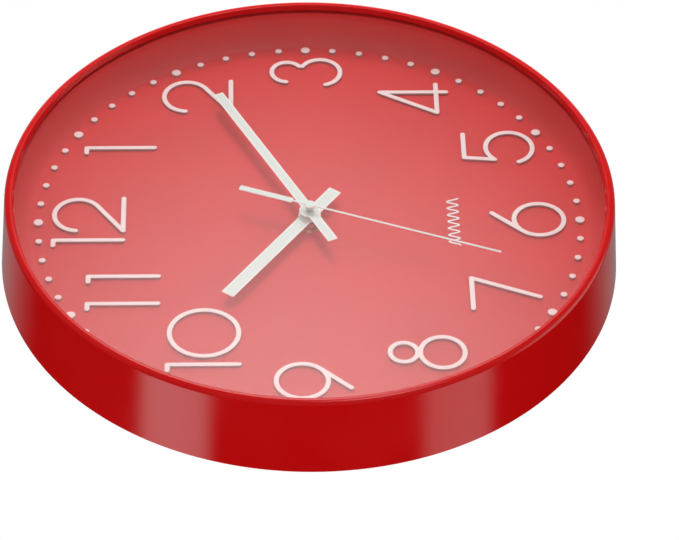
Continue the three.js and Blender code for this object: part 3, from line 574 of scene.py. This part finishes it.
def newTree(name, inputs):
    tree = bpy.data.node_groups.new(name, "GeometryNodeTree")
    tree.interface.new_socket("Geometry", in_out="INPUT", socket_type="NodeSocketGeometry")
    for label, kind in inputs.items():
        tree.interface.new_socket(label, in_out="INPUT", socket_type="NodeSocket" + kind)
    tree.interface.new_socket("Geometry", in_out="OUTPUT", socket_type="NodeSocketGeometry")
    given = tree.nodes.new("NodeGroupInput")
    return tree, Wire(tree), {s.name: Wire(tree, s) for s in given.outputs if s.name}


def endTree(start, geometry, material):
    real = start.node("GeometryNodeRealizeInstances", {0: geometry})
    done = start.node("GeometryNodeSetMaterial", {"Geometry": real, "Material": material})
    result = start.tree.nodes.new("NodeGroupOutput")
    start.tree.links.new(done.socket, result.inputs[0])
    return start.tree


def makeRoundTree():
    inputs = {"Template": "Object", "Count": "Int", "Radius": "Float", "Phase": "Float"}
    inputs |= {"Every": "Int", "Larger": "Float", "Material": "Material"}
    tree, start, given = newTree("aroundAxis", inputs)
    index = start.node("GeometryNodeInputIndex")
    turn = (index + given["Phase"]) * (2 * math.pi) / given["Count"]
    spot = start.node(
        "ShaderNodeCombineXYZ",
        {0: start.maths("COSINE", turn) * given["Radius"], 1: start.maths("SINE", turn) * given["Radius"]},
    )
    points = start.node("GeometryNodePoints", {"Count": given["Count"], "Position": spot})
    chosen = start.maths("LESS_THAN", start.maths("MODULO", index, given["Every"]), 0.5)
    size = chosen * (given["Larger"] - 1.0) + 1.0
    shape = start.node("GeometryNodeObjectInfo", {"Object": given["Template"]}, out="Geometry")
    sockets = {
        "Points": points,
        "Instance": shape,
        "Rotation": start.node("ShaderNodeCombineXYZ", {2: turn}),
        "Scale": start.node("ShaderNodeCombineXYZ", {0: size, 1: size, 2: 1.0}),
    }
    return endTree(start, start.node("GeometryNodeInstanceOnPoints", sockets), given["Material"])


def makeShellTree():
    tree, start, given = newTree("oneSkin", {"Cutter": "Object", "Material": "Material"})
    whole = start.node(
        "GeometryNodeMeshBoolean",
        {"Mesh 2": given["Geometry"], "Self Intersection": True},
        operation="UNION",
        solver="EXACT",
    )
    cutter = start.node("GeometryNodeObjectInfo", {"Object": given["Cutter"]}, out="Geometry")
    sockets = {"Mesh 1": whole, "Mesh 2": cutter, "Self Intersection": True}
    left = start.node("GeometryNodeMeshBoolean", sockets, operation="DIFFERENCE", solver="EXACT")
    return endTree(start, left, given["Material"])


roundTree = makeRoundTree()
shellTree = makeShellTree()


def runTree(tree, mesh, **values):  # the plain mesh that a tree makes of a mesh
    holder = bpy.data.objects.new("holder", mesh)
    scene.collection.objects.link(holder)
    modifier = holder.modifiers.new("tree", "NODES")
    modifier.node_group = tree
    helpers = []
    for item in tree.interface.items_tree:
        value = values.get(item.name)
        if item.in_out == "INPUT" and value is not None:
            if isinstance(value, bpy.types.Mesh):
                value = bpy.data.objects.new("helper", value)
                scene.collection.objects.link(value)
                helpers.append(value)
            modifier[item.identifier] = value
    graph = bpy.context.evaluated_depsgraph_get()
    made = bpy.data.meshes.new_from_object(holder.evaluated_get(graph), depsgraph=graph)
    holder.modifiers.clear()
    for spare in [holder, *helpers]:
        bpy.data.objects.remove(spare)
    return made


def around(template, finish, count, radius=0.0, phase=0.0, every=1000, larger=1.0):
    return runTree(
        roundTree,
        bpy.data.meshes.new("empty"),
        Template=template,
        Count=count,
        Radius=float(radius),
        Phase=float(phase),
        Every=every,
        Larger=float(larger),
        Material=finishes[finish],
    )


def oneSkin(meshes, finish, cutter=None):
    return runTree(shellTree, together(*meshes), Cutter=cutter, Material=finishes[finish])


def levelNormals(mesh):  # wide flat faces keep their own normals beside a rounded edge
    holder = bpy.data.objects.new("holder", mesh)
    scene.collection.objects.link(holder)
    modifier = holder.modifiers.new("level", "WEIGHTED_NORMAL")
    modifier.keep_sharp = True
    modifier.weight = 100
    graph = bpy.context.evaluated_depsgraph_get()
    made = bpy.data.meshes.new_from_object(holder.evaluated_get(graph), depsgraph=graph)
    bpy.data.objects.remove(holder)
    return made


def makePiece(name, mesh, finish, body="clock_body", nodes=(), crease=32):
    mesh.transform(toFrame)
    mesh.materials.clear()
    mesh.materials.append(finishes[finish])
    mesh.polygons.foreach_set("material_index", [0] * len(mesh.polygons))
    mesh.shade_smooth()
    mesh.set_sharp_from_angle(angle=math.radians(crease))
    piece = bpy.data.objects.new(name, levelNormals(mesh))
    piece.data.name = name
    scene.collection.objects.link(piece)
    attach(piece, body)
    if nodes:
        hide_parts(*nodes)
    return piece


# ---- case

caseRing = {
    "backRadius": 150.0,
    "frontRadius": 147.1,
    "depth": 41.5,
    "wall": 2.3,
    "shoulder": 2.7,
    "lipRadius": 142.4,
    "crown": 0.8,
    "lipDepth": 2.8,
    "segments": 288,
    "catches": 8,
    "catchWidth": 11.2,
}


def caseInside(z):
    lean = (caseRing["backRadius"] - caseRing["frontRadius"]) / (caseRing["depth"] - caseRing["shoulder"])
    return caseRing["backRadius"] - caseRing["wall"] - z * lean


def makeCase():
    c = caseRing
    lip = c["depth"] - c["lipDepth"]
    seat = c["frontRadius"] - c["wall"]
    profile = filleted(
        [
            (c["backRadius"], 0, 0.5),
            (c["frontRadius"], c["depth"] - c["shoulder"] + 0.2, 0.2),
            (c["frontRadius"], c["depth"], c["shoulder"] - 0.3),
            (c["lipRadius"] + c["crown"], c["depth"], 0.6),
            (c["lipRadius"], lip, 0.15),
            (seat, lip),
            (c["backRadius"] - c["wall"], 0, 0.5),
        ],
        8,
    )
    panBack = levels("rubber_washer")[1] + 0.1
    catchTop = panBack + 0.2 - 2.2 - 0.1
    wallTop = caseInside(catchTop) + 0.8
    ramp = [(144.6, catchTop - 0.6), (wallTop, catchTop - 3.8), (wallTop, catchTop), (144.6, catchTop)]
    half = c["catchWidth"] / 2
    catch = bmesh.new()
    near = [catch.verts.new((r, -half, z)) for r, z in ramp]
    far = [catch.verts.new((r, half, z)) for r, z in ramp]
    catch.faces.new(near)
    catch.faces.new(far[::-1])
    for i in range(4):
        catch.faces.new((near[i], near[(i + 1) % 4], far[(i + 1) % 4], far[i]))
    catches = around(closedMesh(catch), "caseRed", c["catches"], phase=0.5)
    ring = oneSkin([lathe(profile, c["segments"]), catches], "caseRed")
    makePiece("caseRing", ring, "caseRed", nodes=["case_ring"])


makeCase()
print("stage: case ring")

lensSheet = {"radius": 144.4, "edge": 0.25, "segments": 192}


def makeLens():
    low, high = levels("lens")
    radius, edge = lensSheet["radius"], lensSheet["edge"]
    profile = filleted([(0, low), (radius, low, edge), (radius, high, edge), (0, high)], 3)
    makePiece("lensSheet", lathe(profile, lensSheet["segments"]), "lensClear", nodes=["lens"])


makeLens()

screwPlace = (17.0, 99.0)  # of the hanger's screws, to each side of 12

dialPan = {
    "hole": 4.25,
    "foot": 133.9,
    "cove": 8.3,
    "wall": 1.6,
    "rim": 144.4,
    "coveSteps": 14,
    "segments": 288,
    "ribs": 8,
    "ribHeight": 3.0,
    "ears": 8,
    "earWidth": 14.0,
    "earThickness": 2.2,
    "fenceWall": (0.6, 2.2),
    "fenceHeight": 4.0,
    "bossRadius": 3.6,
    "bossBore": 1.5,
    "fence": (-28.0, 28.0, -32.6, 23.4),
}


def makePan():
    p = dialPan
    back = levels("rubber_washer")[1] + 0.1
    face = back + p["wall"]
    top = levels("lens")[0] - 0.1

    def cove(width, low, high):
        points = []
        for k in range(p["coveSteps"] + 1):
            turn = math.pi / 2 * k / p["coveSteps"]
            points.append((p["foot"] + width * math.sin(turn), low + (high - low) * (1 - math.cos(turn))))
        return points

    profile = [(p["hole"], back)]
    profile += cove(p["cove"] + p["wall"], back, top - p["wall"])
    profile += [(p["rim"], top - p["wall"]), (p["rim"], top)]
    profile += cove(p["cove"], face, top)[::-1]
    profile += [(p["hole"], face)]
    shell = lathe(profile, p["segments"])

    start = math.hypot(p["fence"][1], p["fence"][2]) + 4.2
    ribLow = back - p["ribHeight"]
    rib = plate([rectangle(start, p["foot"] - 10, -0.8, 0.8)], ribLow, back + 0.2, 0.3)
    ribs = around(rib, "dialRed", p["ribs"])
    earTop = back + 0.2
    earReach = caseInside(earTop) - 0.6
    half = p["earWidth"] / 2
    earOutline = rectangle(p["foot"] - 8, earReach, -half, half, 0.8)
    ear = plate([earOutline], earTop - p["earThickness"], earTop, 0.3)
    ears = around(ear, "dialRed", p["ears"], phase=0.5)
    x0, x1, y0, y1 = p["fence"]
    inner, outer = p["fenceWall"]
    fenceLoops = [
        rectangle(x0 - outer, x1 + outer, y0 - outer, y1 + outer, 2.0),
        rectangle(x0 - inner, x1 + inner, y0 - inner, y1 + inner),
    ]
    fence = plate(fenceLoops, back - p["fenceHeight"], back + 0.2, 0.3)
    bossLow = levels("hanger_plate")[1] + 0.1
    bosses = []
    for side in (-1, 1):
        outer, bore = p["bossRadius"], p["bossBore"]
        ring = [(outer, bossLow, 0.3), (outer, back + 0.2), (bore, back + 0.2), (bore, bossLow, 0.2)]
        bosses.append(lathe(filleted(ring, 3), 40, side * screwPlace[0], screwPlace[1]))
    pan = oneSkin([shell, ribs, ears, fence, *bosses], "dialRed")
    makePiece("dialPan", pan, "dialRed", nodes=["dial_pan"])


makePan()
print("stage: dial pan")

minuteMarks = {"radius": 131.5, "small": 1.75, "large": 2.4, "height": 1.3, "crown": 0.38}


def makeMarks():
    m = minuteMarks
    face = levels("numeral_1")[0] - 0.05
    top = face + m["height"]
    seat = face + 0.02
    profile = filleted([(0, seat), (m["small"], seat), (m["small"], top, m["crown"]), (0, top)], 4)
    dot = lathe(profile, 24)
    dots = around(dot, "numeralWhite", 60, m["radius"], every=5, larger=m["large"] / m["small"])
    makePiece("minuteMarks", dots, "numeralWhite", crease=60)


makeMarks()

# ---- numerals: the outline at half a stroke from each figure's centre lines

numeralStroke = {"half": 1.3, "edge": 0.4, "grid": 0.22, "close": 0.004}
figureHalf = 16.75


def arcLine(x, y, radiusX, radiusY, start, end):
    count = max(2, math.ceil(abs(end - start) / 3))
    turns = [math.radians(start + (end - start) * k / count) for k in range(count + 1)]
    return [(x + radiusX * math.cos(t), y + radiusY * math.sin(t)) for t in turns]


def touch(point, x, y, radiusX, radiusY, side):  # where a line from a point grazes an oval
    u, v = (point[0] - x) / radiusX, (point[1] - y) / radiusY
    return math.degrees(math.atan2(v, u) + side * math.acos(1 / math.hypot(u, v)))


def figureLines():
    h = figureHalf
    corner = (-11.7, -h)
    leave = touch(corner, 0, h - 11.4, 11.4, 11.4, 1)
    shoulder = polar(11.6, 140, -0.2, -5.5)
    tip = (4.8, h + 0.6)
    graze = touch(tip, 0, -5.4, 11.45, 12.1, 1)
    foot = (11.45 * math.cos(math.radians(graze)), -5.4 + 12.1 * math.sin(math.radians(graze)))
    six = [arcLine(0, -5.4, 11.45, 12.1, 0, 360), [foot, tip]]
    return {
        0: [arcLine(0, 0, 15.7, 16.3, 0, 360)],
        1: [[(0, -h), (0, h), (-3.8, h)]],
        2: [
            arcLine(0, h - 11.4, 11.4, 11.4, leave, 176),
            [polar(11.4, leave, 0, h - 11.4), corner, (12, -h)],
        ],
        3: [arcLine(0, 9.6, 7.75, 7.75, -54, 176), arcLine(-0.3, -7.2, 10.1, 10.1, -165, 62)],
        4: [[(5.1, -h), (5.1, h), (-11, 5.1 - h), (11.1, 5.1 - h)]],
        5: [[(10.1, h + 0.3), (-7.6, h + 0.3), shoulder], arcLine(-0.2, -5.5, 11.6, 11.6, -158, 140)],
        6: six,
        7: [[(-10.6, h - 0.6), (10.6, h - 0.6), (-2.8, 0.7 - h)]],
        8: [arcLine(0.1, 11.1, 6.45, 6.45, 0, 360), arcLine(-0.1, -7.1, 10.45, 10.45, 0, 360)],
        9: [[(-x, -y) for x, y in line] for line in six],
    }


def strokeOutlines(lines, half):
    # Marching squares over the distance to the lines, thinned to what the curve needs.
    step = numeralStroke["grid"]
    ends = np.array([(a, b) for line in lines for a, b in zip(line, line[1:])], float)
    low = ends.min((0, 1)) - half - 3 * step
    high = ends.max((0, 1)) + half + 3 * step
    xs, ys = np.arange(low[0], high[0], step), np.arange(low[1], high[1], step)
    grid = np.stack(np.meshgrid(xs, ys, indexing="ij"), -1)
    field = np.full(grid.shape[:2], 1e9)
    for a, b in ends:
        along = b - a
        share = np.clip(((grid - a) @ along) / max(along @ along, 1e-12), 0, 1)
        field = np.minimum(field, np.linalg.norm(grid - a - share[..., None] * along, axis=-1))
    field -= half
    inside = field < 0
    follow = {}
    mixed = inside[:-1, :-1] + 0 + inside[1:, :-1] + inside[1:, 1:] + inside[:-1, 1:]
    for i, j in zip(*np.nonzero((mixed > 0) & (mixed < 4))):
        around4 = [(i, j), (i + 1, j), (i + 1, j + 1), (i, j + 1)]
        crossings = []
        for k in range(4):
            a, b = around4[k], around4[(k + 1) % 4]
            if inside[a] != inside[b]:
                crossings.append((inside[a], (min(a, b), max(a, b))))
        exits = [edge for wasIn, edge in crossings if wasIn]
        entries = [edge for wasIn, edge in crossings if not wasIn]
        for enter, leave in zip(entries, exits):
            follow[leave] = enter
    loops = []
    while follow:
        first, edge = follow.popitem()
        loop = [first]
        while edge != first:
            loop.append(edge)
            edge = follow.pop(edge)
        spots = []
        for a, b in loop:
            share = field[a] / (field[a] - field[b])
            spots.append(grid[a] + share * (grid[b] - grid[a]))
        loops.append(thinned(np.array(spots), numeralStroke["close"]))
    return loops


def thinned(points, close):  # a closed line with the points left out that don't bend it
    far = int(np.argmax(np.linalg.norm(points - points[0], axis=1)))
    keep = {0, far}
    spans = [(0, far), (far, len(points))]
    while spans:
        a, b = spans.pop()
        if b - a < 2:
            continue
        start, end = points[a], points[b % len(points)]
        along = (end - start) / max(np.linalg.norm(end - start), 1e-9)
        off = points[a + 1 : b] - start
        gap = np.abs(off[:, 0] * along[1] - off[:, 1] * along[0])
        worst = int(np.argmax(gap))
        if gap[worst] > close or b - a > 60:
            middle = a + 1 + (worst if gap[worst] > close else (b - a) // 2 - 1)
            keep.add(middle)
            spans += [(a, middle), (middle, b)]
    return [tuple(points[k]) for k in sorted(keep)]


numerals = {
    "numeral_1": 1, "numeral_2": 2, "numeral_3": 3, "numeral_4": 4, "numeral_5": 5, "numeral_6": 6,
    "numeral_7": 7, "numeral_8": 8, "numeral_9": 9, "numeral_10_one": 1, "numeral_10_zero": 0,
    "numeral_11_left": 1, "numeral_11_right": 1, "numeral_12_one": 1, "numeral_12_two": 2,
}


def makeNumerals():
    half = numeralStroke["half"]
    outlines = {figure: strokeOutlines(lines, half) for figure, lines in figureLines().items()}
    for node, figure in numerals.items():
        low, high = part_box(node)
        right = high.x / millimetre
        upper = (high.z - axisHeight) / millimetre
        loops = outlines[figure]
        points = np.array([point for loop in loops for point in loop])
        shift = np.array((right, upper)) - points.max(0)
        placed = [[tuple(np.array(point) + shift) for point in loop] for loop in loops]
        bar = plate(placed, *levels(node), numeralStroke["edge"], 3)
        name = "hour" + "".join(word.capitalize() for word in node.split("_")[1:])
        makePiece(name, bar, "numeralWhite", nodes=[node], crease=45)


makeNumerals()
print("stage: marks and numerals")

waveMark = {"width": 34.0, "rise": 2.6, "peaks": 7, "half": 0.5, "below": 70.0}


def makeWave():
    w = waveMark
    count = 140
    line = []
    for k in range(count + 1):
        x = w["width"] * (k / count - 0.5)
        line.append((x, -w["below"] - w["rise"] * math.cos(2 * math.pi * w["peaks"] * k / count)))
    loops = strokeOutlines([line], w["half"])
    mark = plate(loops, *levels("dial_mark"), 0.04, 1)
    makePiece("waveMark", mark, "numeralWhite", nodes=["dial_mark"])


makeWave()

# ---- hands

hands = {
    "hour": {
        "body": "hours", "length": 69.0, "tail": 22.2, "width": 6.7, "hub": 5.4, "collar": 3.6, "bore": 2.5,
    },
    "minute": {
        "body": "minutes", "length": 99.0, "tail": 24.1, "width": 5.0, "hub": 5.0, "collar": 2.6, "bore": 1.4,
    },
}
handPlate = {"thickness": 0.5, "edge": 0.2, "border": 0.6, "slope": 0.1}
secondHand = {
    "length": 97.3,
    "width": 1.1,
    "tail": 36.2,
    "tailWidth": 3.4,
    "tailRoot": 9.0,
    "cap": 2.6,
    "drop": 0.9,
    "tube": 1.95,
}


def stamped(loops, top):  # a thin blade whose faces slope gently down to their edges
    p = handPlate
    flatten = p["slope"] / p["border"]
    tall = p["thickness"] / flatten
    mesh = plate(loops, -tall / 2, tall / 2, p["border"], 0)
    mesh.transform(Matrix.Translation((0, 0, top - p["thickness"] / 2)) @ Matrix.Diagonal((1, 1, flatten, 1)))
    return mesh


def bladeLoop(hand):
    half, hub = hand["width"] / 2, hand["hub"]
    lean = math.degrees(math.asin(half / hub))
    loop = [(half, hand["length"]), (-half, hand["length"])]
    loop += [polar(hub, turn) for turn in np.linspace(90 + lean, 270 - lean, 25)]
    loop += [(-half, -hand["tail"]), (half, -hand["tail"])]
    loop += [polar(hub, turn) for turn in np.linspace(-90 + lean, 90 - lean, 25)]
    return loop


dialTime = {"hour": 305.279, "minute": 63.35, "second": 201.0}  # degrees clockwise from 12


def makeHands():
    thick, edge = handPlate["thickness"], handPlate["edge"]
    for name, hand in hands.items():
        low, top = levels(name + "_hand")
        blade = stamped([bladeLoop(hand), circle(hand["bore"], 32)], top)
        outer, bore, seat = hand["collar"], hand["bore"], top - thick / 2
        collar = filleted([(outer, low, 0.2), (outer, seat), (bore, seat), (bore, low)], 3)
        whole = oneSkin([blade, lathe(collar, 48)], "handWhite")
        whole.transform(Matrix.Rotation(-math.radians(dialTime[name]), 4, "Z"))
        makePiece(name + "Hand", whole, "handWhite", hand["body"], [name + "_hand"], 8)
    s = secondHand
    low, high = levels("second_hand")
    high -= s["drop"]
    top = high - 0.35
    half, wide = s["width"] / 2, s["tailWidth"] / 2
    tip, root, end = s["length"], -s["tailRoot"], -s["tail"]
    outline = [
        (half, tip, 0.3), (-half, tip, 0.3), (-half, root), (-wide, root, 0.3),
        (-wide, end, 0.3), (wide, end, 0.3), (wide, root, 0.3), (half, root),
    ]
    blade = plate([filleted(outline, 3)], top - thick, top, edge, 2)
    under = top - thick
    button = filleted([(0, under), (s["cap"], under, 0.1), (s["cap"], high, 0.25), (0, high)], 4)
    whole = oneSkin([blade, lathe(button, 48)], "handWhite")
    whole.transform(Matrix.Rotation(-math.radians(dialTime["second"]), 4, "Z"))
    makePiece("secondHand", whole, "handWhite", "seconds", ["second_hand"])
    tube = filleted([(0.55, low, 0.1), (s["tube"], low, 0.15), (s["tube"], under), (0.55, under)], 3)
    makePiece("secondTube", lathe(tube, 48), "steel", "seconds")


makeHands()

fixing = {"washer": 7.4, "chamfer": (0.9, 0.4), "flats": 11.0, "bore": 4.05}


def makeFixing():
    low, high = levels("brass_washer")
    bore, outer = fixing["bore"], fixing["washer"]
    across, down = fixing["chamfer"]
    ring = [(bore, low), (outer, low), (outer, high - down, 0.08)]
    ring += [(outer - across, high, 0.08), (bore, high, 0.1)]
    makePiece("brassWasher", lathe(filleted(ring, 3), 72), "brass", nodes=["brass_washer"])
    low, high = levels("brass_nut")
    hexagon = [polar(fixing["flats"] / math.sqrt(3), 60 * k) for k in range(6)]
    nut = plate([hexagon, circle(bore, 48)], low, high, 0.28, 2)
    makePiece("brassNut", nut, "brass", nodes=["brass_nut"])


makeFixing()
print("stage: hands and fixing")

# ---- movement

rearCover = {
    "outline": (-28.0, 28.0, -32.6, 23.4),
    "corner": 4.0,
    "wall": 1.2,
    "floor": 1.5,
    "edge": 0.5,
    "cellWall": (-16.4, -15.4),
    "window": (-26.25, 26.25, -31.2, -16.4),
    "knobAt": (9.0, -8.0),
    "pocket": 6.3,
    "pocketWall": 1.1,
    "pocketFloor": 3.8,
    "shaftHole": 1.2,
}


def makeCover():
    c = rearCover
    low, high = levels("movement_rear_cover")
    x0, x1, y0, y1 = c["outline"]
    w = c["wall"]
    outer = plate([rectangle(*c["outline"], c["corner"])], low, high, c["edge"], 3)
    inside = rectangle(x0 + w, x1 - w, y0 + w, y1 - w, c["corner"] - w)
    hollow = plate([inside], low + c["floor"], high + 2, 0.05, 1)
    shell = oneSkin([outer], "blackPlastic", hollow)
    knobX, knobY = c["knobAt"]
    reach, floor = c["pocket"] + c["pocketWall"], c["pocketFloor"]
    cup = lathe([(0, low + 0.4), (reach, low + 0.4), (reach, floor + 1), (0, floor + 1)], 64, knobX, knobY)
    divider = plate([rectangle(x0 + 0.5, x1 - 0.5, *c["cellWall"])], low + 0.4, high, 0.05, 1)
    window = plate([rectangle(*c["window"], 0.8)], low - 1, low + c["floor"] + 0.6, 0.05, 1)
    pocketProfile = [(0, low - 1), (c["pocket"], low - 1), (c["pocket"], floor), (0, floor)]
    pocket = lathe(pocketProfile, 64, knobX, knobY)
    shaft = lathe([(0, 3), (c["shaftHole"], 3), (c["shaftHole"], 6), (0, 6)], 24, knobX, knobY)
    cover = oneSkin([shell, cup, divider], "blackPlastic", together(window, pocket, shaft))
    makePiece("rearCover", cover, "blackPlastic", nodes=["movement_rear_cover"])


makeCover()

settingKnob = {"radius": 5.8, "flutes": 10, "flute": 0.6, "dish": 4.2, "dishDepth": 0.7, "bore": 1.05}


def makeKnob():
    k = settingKnob
    low, high = levels("setting_knob")
    knobX, knobY = rearCover["knobAt"]
    outline = []
    for i in range(k["flutes"] * 12):
        turn = 2 * math.pi * i / (k["flutes"] * 12)
        dip = max(0.0, math.cos(k["flutes"] * turn + math.pi)) ** 1.5
        radius = k["radius"] - k["flute"] * dip
        outline.append((knobX + radius * math.cos(turn), knobY + radius * math.sin(turn)))
    body = plate([outline], low, high, 0.25, 2)
    floor = low + k["dishDepth"]
    dishProfile = filleted([(0, low - 1), (k["dish"], low - 1), (k["dish"], floor, 0.4), (0, floor)], 3)
    dish = lathe(dishProfile, 48, knobX, knobY)
    boreProfile = [(0, high - 1.5), (k["bore"], high - 1.5), (k["bore"], high + 1), (0, high + 1)]
    bore = lathe(boreProfile, 24, knobX, knobY)
    knob = oneSkin([body], "blackPlastic", together(dish, bore))
    makePiece("settingKnob", knob, "blackPlastic", "setting", ["setting_knob"])


makeKnob()

cell = {"radius": 7.1, "nub": 2.7, "sleeve": (-24.4, 23.0), "bandFrom": 12.5}
cellJacket = {"body": (0.020, 0.070, 0.240), "band": (0.72, 0.42, 0.10), "line": (0.80, 0.80, 0.78)}


def makeJacket():
    material, shader, start, place = newFinish("cellJacket", Metallic=0.35, Coat_Weight=0.5)
    x = start.node("ShaderNodeSeparateXYZ", {0: place}) / millimetre
    band = x.step(cell["bandFrom"], cell["bandFrom"] + 0.1)
    line = x.step(cell["bandFrom"] - 1.6, cell["bandFrom"] - 1.5) * (1.0 - band)
    wear = noise(start, place, 240, 4.0)
    colour = band.blend((*cellJacket["body"], 1), (*cellJacket["band"], 1))
    colour = line.blend(colour, (*cellJacket["line"], 1))
    worn = wear.step(0.72, 0.8).blend(colour, (0.4, 0.4, 0.4, 1))
    feed(shader, start, Base_Color=worn, Roughness=wear * 0.2 + 0.18)
    return material


finishes["cellJacket"] = makeJacket()


def makeCell():
    low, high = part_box("battery")
    middleY = ((low.z + high.z) / 2 - axisHeight) / millimetre
    middleZ = -(low.y + high.y) / 2 / millimetre
    x0, x1 = low.x / millimetre, high.x / millimetre
    shoulder = x1 - 1.3
    r = cell["radius"]
    lay = Matrix(((0, 0, 1, 0), (1, 0, 0, middleY), (0, 1, 0, middleZ), (0, 0, 0, 1)))
    nub = cell["nub"]
    can = [(0, x0 + 0.25), (r - 1.6, x0 + 0.25), (r - 1.2, x0), (r - 0.3, x0, 0.35)]
    can += [(r - 0.15, shoulder, 0.5), (r - 1.5, shoulder - 0.2), (nub + 0.6, shoulder - 0.1)]
    can += [(nub, shoulder - 0.1), (nub, x1, 0.4), (0, x1)]
    sleeve0, sleeve1 = cell["sleeve"]
    sleeve = [(r - 0.6, sleeve0), (r, sleeve0, 0.08), (r, sleeve1, 0.08), (r - 0.6, sleeve1)]
    parts = (("cellCan", can, 4, "steel", []), ("cellSleeve", sleeve, 2, "cellJacket", ["battery"]))
    for name, profile, steps, finish, nodes in parts:
        mesh = lathe(filleted(profile, steps), 72)
        mesh.transform(lay)
        makePiece(name, mesh, finish, "battery", nodes)


makeCell()

hangerPlate = {
    "half": 23.0,
    "low": 86.0,
    "high": 112.0,
    "corner": 4.0,
    "slot": 2.3,
    "entry": 5.2,
    "entryY": 93.0,
    "top": 99.7,
    "hole": 1.5,
}


def makeHanger():
    h = hangerPlate
    lean = math.degrees(math.asin(h["slot"] / h["entry"]))
    keyhole = [polar(h["entry"], turn, 0, h["entryY"]) for turn in np.linspace(90 + lean, 450 - lean, 48)]
    keyhole += [polar(h["slot"], turn, 0, h["top"]) for turn in np.linspace(0, 180, 20)]
    loops = [rectangle(-h["half"], h["half"], h["low"], h["high"], h["corner"]), keyhole]
    loops += [circle(h["hole"], 32, side * screwPlace[0], screwPlace[1]) for side in (-1, 1)]
    hanger = plate(loops, *levels("hanger_plate"), 0.22, 2)
    makePiece("hangerPlate", hanger, "zincSteel", nodes=["hanger_plate"])


makeHanger()

screw = {
    "shank": 1.3,
    "head": 2.8,
    "headHeight": 1.9,
    "slot": 0.3,
    "slotReach": 1.5,
    "pitch": 0.8,
    "turned": 20,
}


def makeScrews():
    s = screw
    back, tip = levels("hanger_screw_left")
    seat = back + s["headHeight"]
    head = [(0, back), (s["head"], back, 1.1), (s["head"], seat, 0.15), (s["shank"] - 0.15, seat)]
    thread = []
    z = seat + 0.6
    while z + s["pitch"] < tip - 0.6:
        thread += [(s["shank"] - 0.25, z), (s["shank"], z + s["pitch"] / 2)]
        z += s["pitch"]
    profile = filleted(head, 5) + thread + [(s["shank"] - 0.25, tip - 0.6), (0.3, tip), (0, tip)]
    wide, reach = s["slot"], s["slotReach"]
    recess = together(
        plate([rectangle(-reach, reach, -wide, wide)], back - 1, back + 1.0, 0.03, 1),
        plate([rectangle(-wide, wide, -reach + 0.001, reach - 0.001)], back - 1.01, back + 0.99, 0.03, 1),
    )
    body = oneSkin([lathe(profile, 40)], "zincSteel", recess)
    for side, name in ((-1, "left"), (1, "right")):
        mesh = body.copy()
        turn = Matrix.Rotation(math.radians(s["turned"] * side), 4, "Z")
        mesh.transform(Matrix.Translation((side * screwPlace[0], screwPlace[1], 0)) @ turn)
        node = "hanger_screw_" + name
        makePiece("hangerScrew" + name.capitalize(), mesh, "zincSteel", nodes=[node])


makeScrews()
print("stage: movement, cell and hanger")

# ---- frame nodes that keep their own shape

keptFinish = {
    "trainPlastic": [
        "train_bridge", "rotor_pinion", "fifth_wheel", "third_wheel", "centre_wheel", "minute_wheel",
        "hour_wheel", "setting_shaft", "coil_bobbin",
    ],
    "brass": ["threaded_stem", "minute_tube"],
    "steel": ["seconds_wheel", "stator", "coil_core", "crystal_can", "battery_spring", "battery_plate"],
    "blackPlastic": ["movement_front_case"],
    "rubberBlack": ["rubber_washer"],
    "magnetGrey": ["rotor_magnet"],
    "copperWire": ["coil_winding"],
    "boardGreen": ["circuit_board"],
    "chipBlack": ["driver_chip"],
}


def finishKeptNodes():
    for finish, nodes in keptFinish.items():
        for node in nodes:
            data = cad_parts[node].data
            data.materials.clear()
            data.materials.append(finishes[finish])


finishKeptNodes()

floor = {"height": -1.3, "radius": 0.72, "colour": (0.86, 0.86, 0.85)}


def makeFloor():
    material, shader, start, place = newFinish("floorPale", Roughness=0.6)
    x, y, z = start.split(place)
    reach = start.maths("SQRT", x * x + y * y)
    fade = 1.0 - reach.step(floor["radius"] * 0.55, floor["radius"] * 0.98)
    speck = noise(start, place, 60)
    feed(shader, start, Alpha=fade, Base_Color=speck.blend((*floor["colour"], 1), (0.9, 0.9, 0.89, 1)))
    shape = bmesh.new()
    bmesh.ops.create_circle(shape, cap_ends=True, segments=96, radius=floor["radius"])
    bmesh.ops.translate(shape, verts=shape.verts, vec=(0, 0, floor["height"]))
    mesh = bpy.data.meshes.new("floor")
    shape.to_mesh(mesh)
    shape.free()
    mesh.materials.append(material)
    made = bpy.data.objects.new("floor", mesh)
    scene.collection.objects.link(made)


makeFloor()

print("stage: finished")
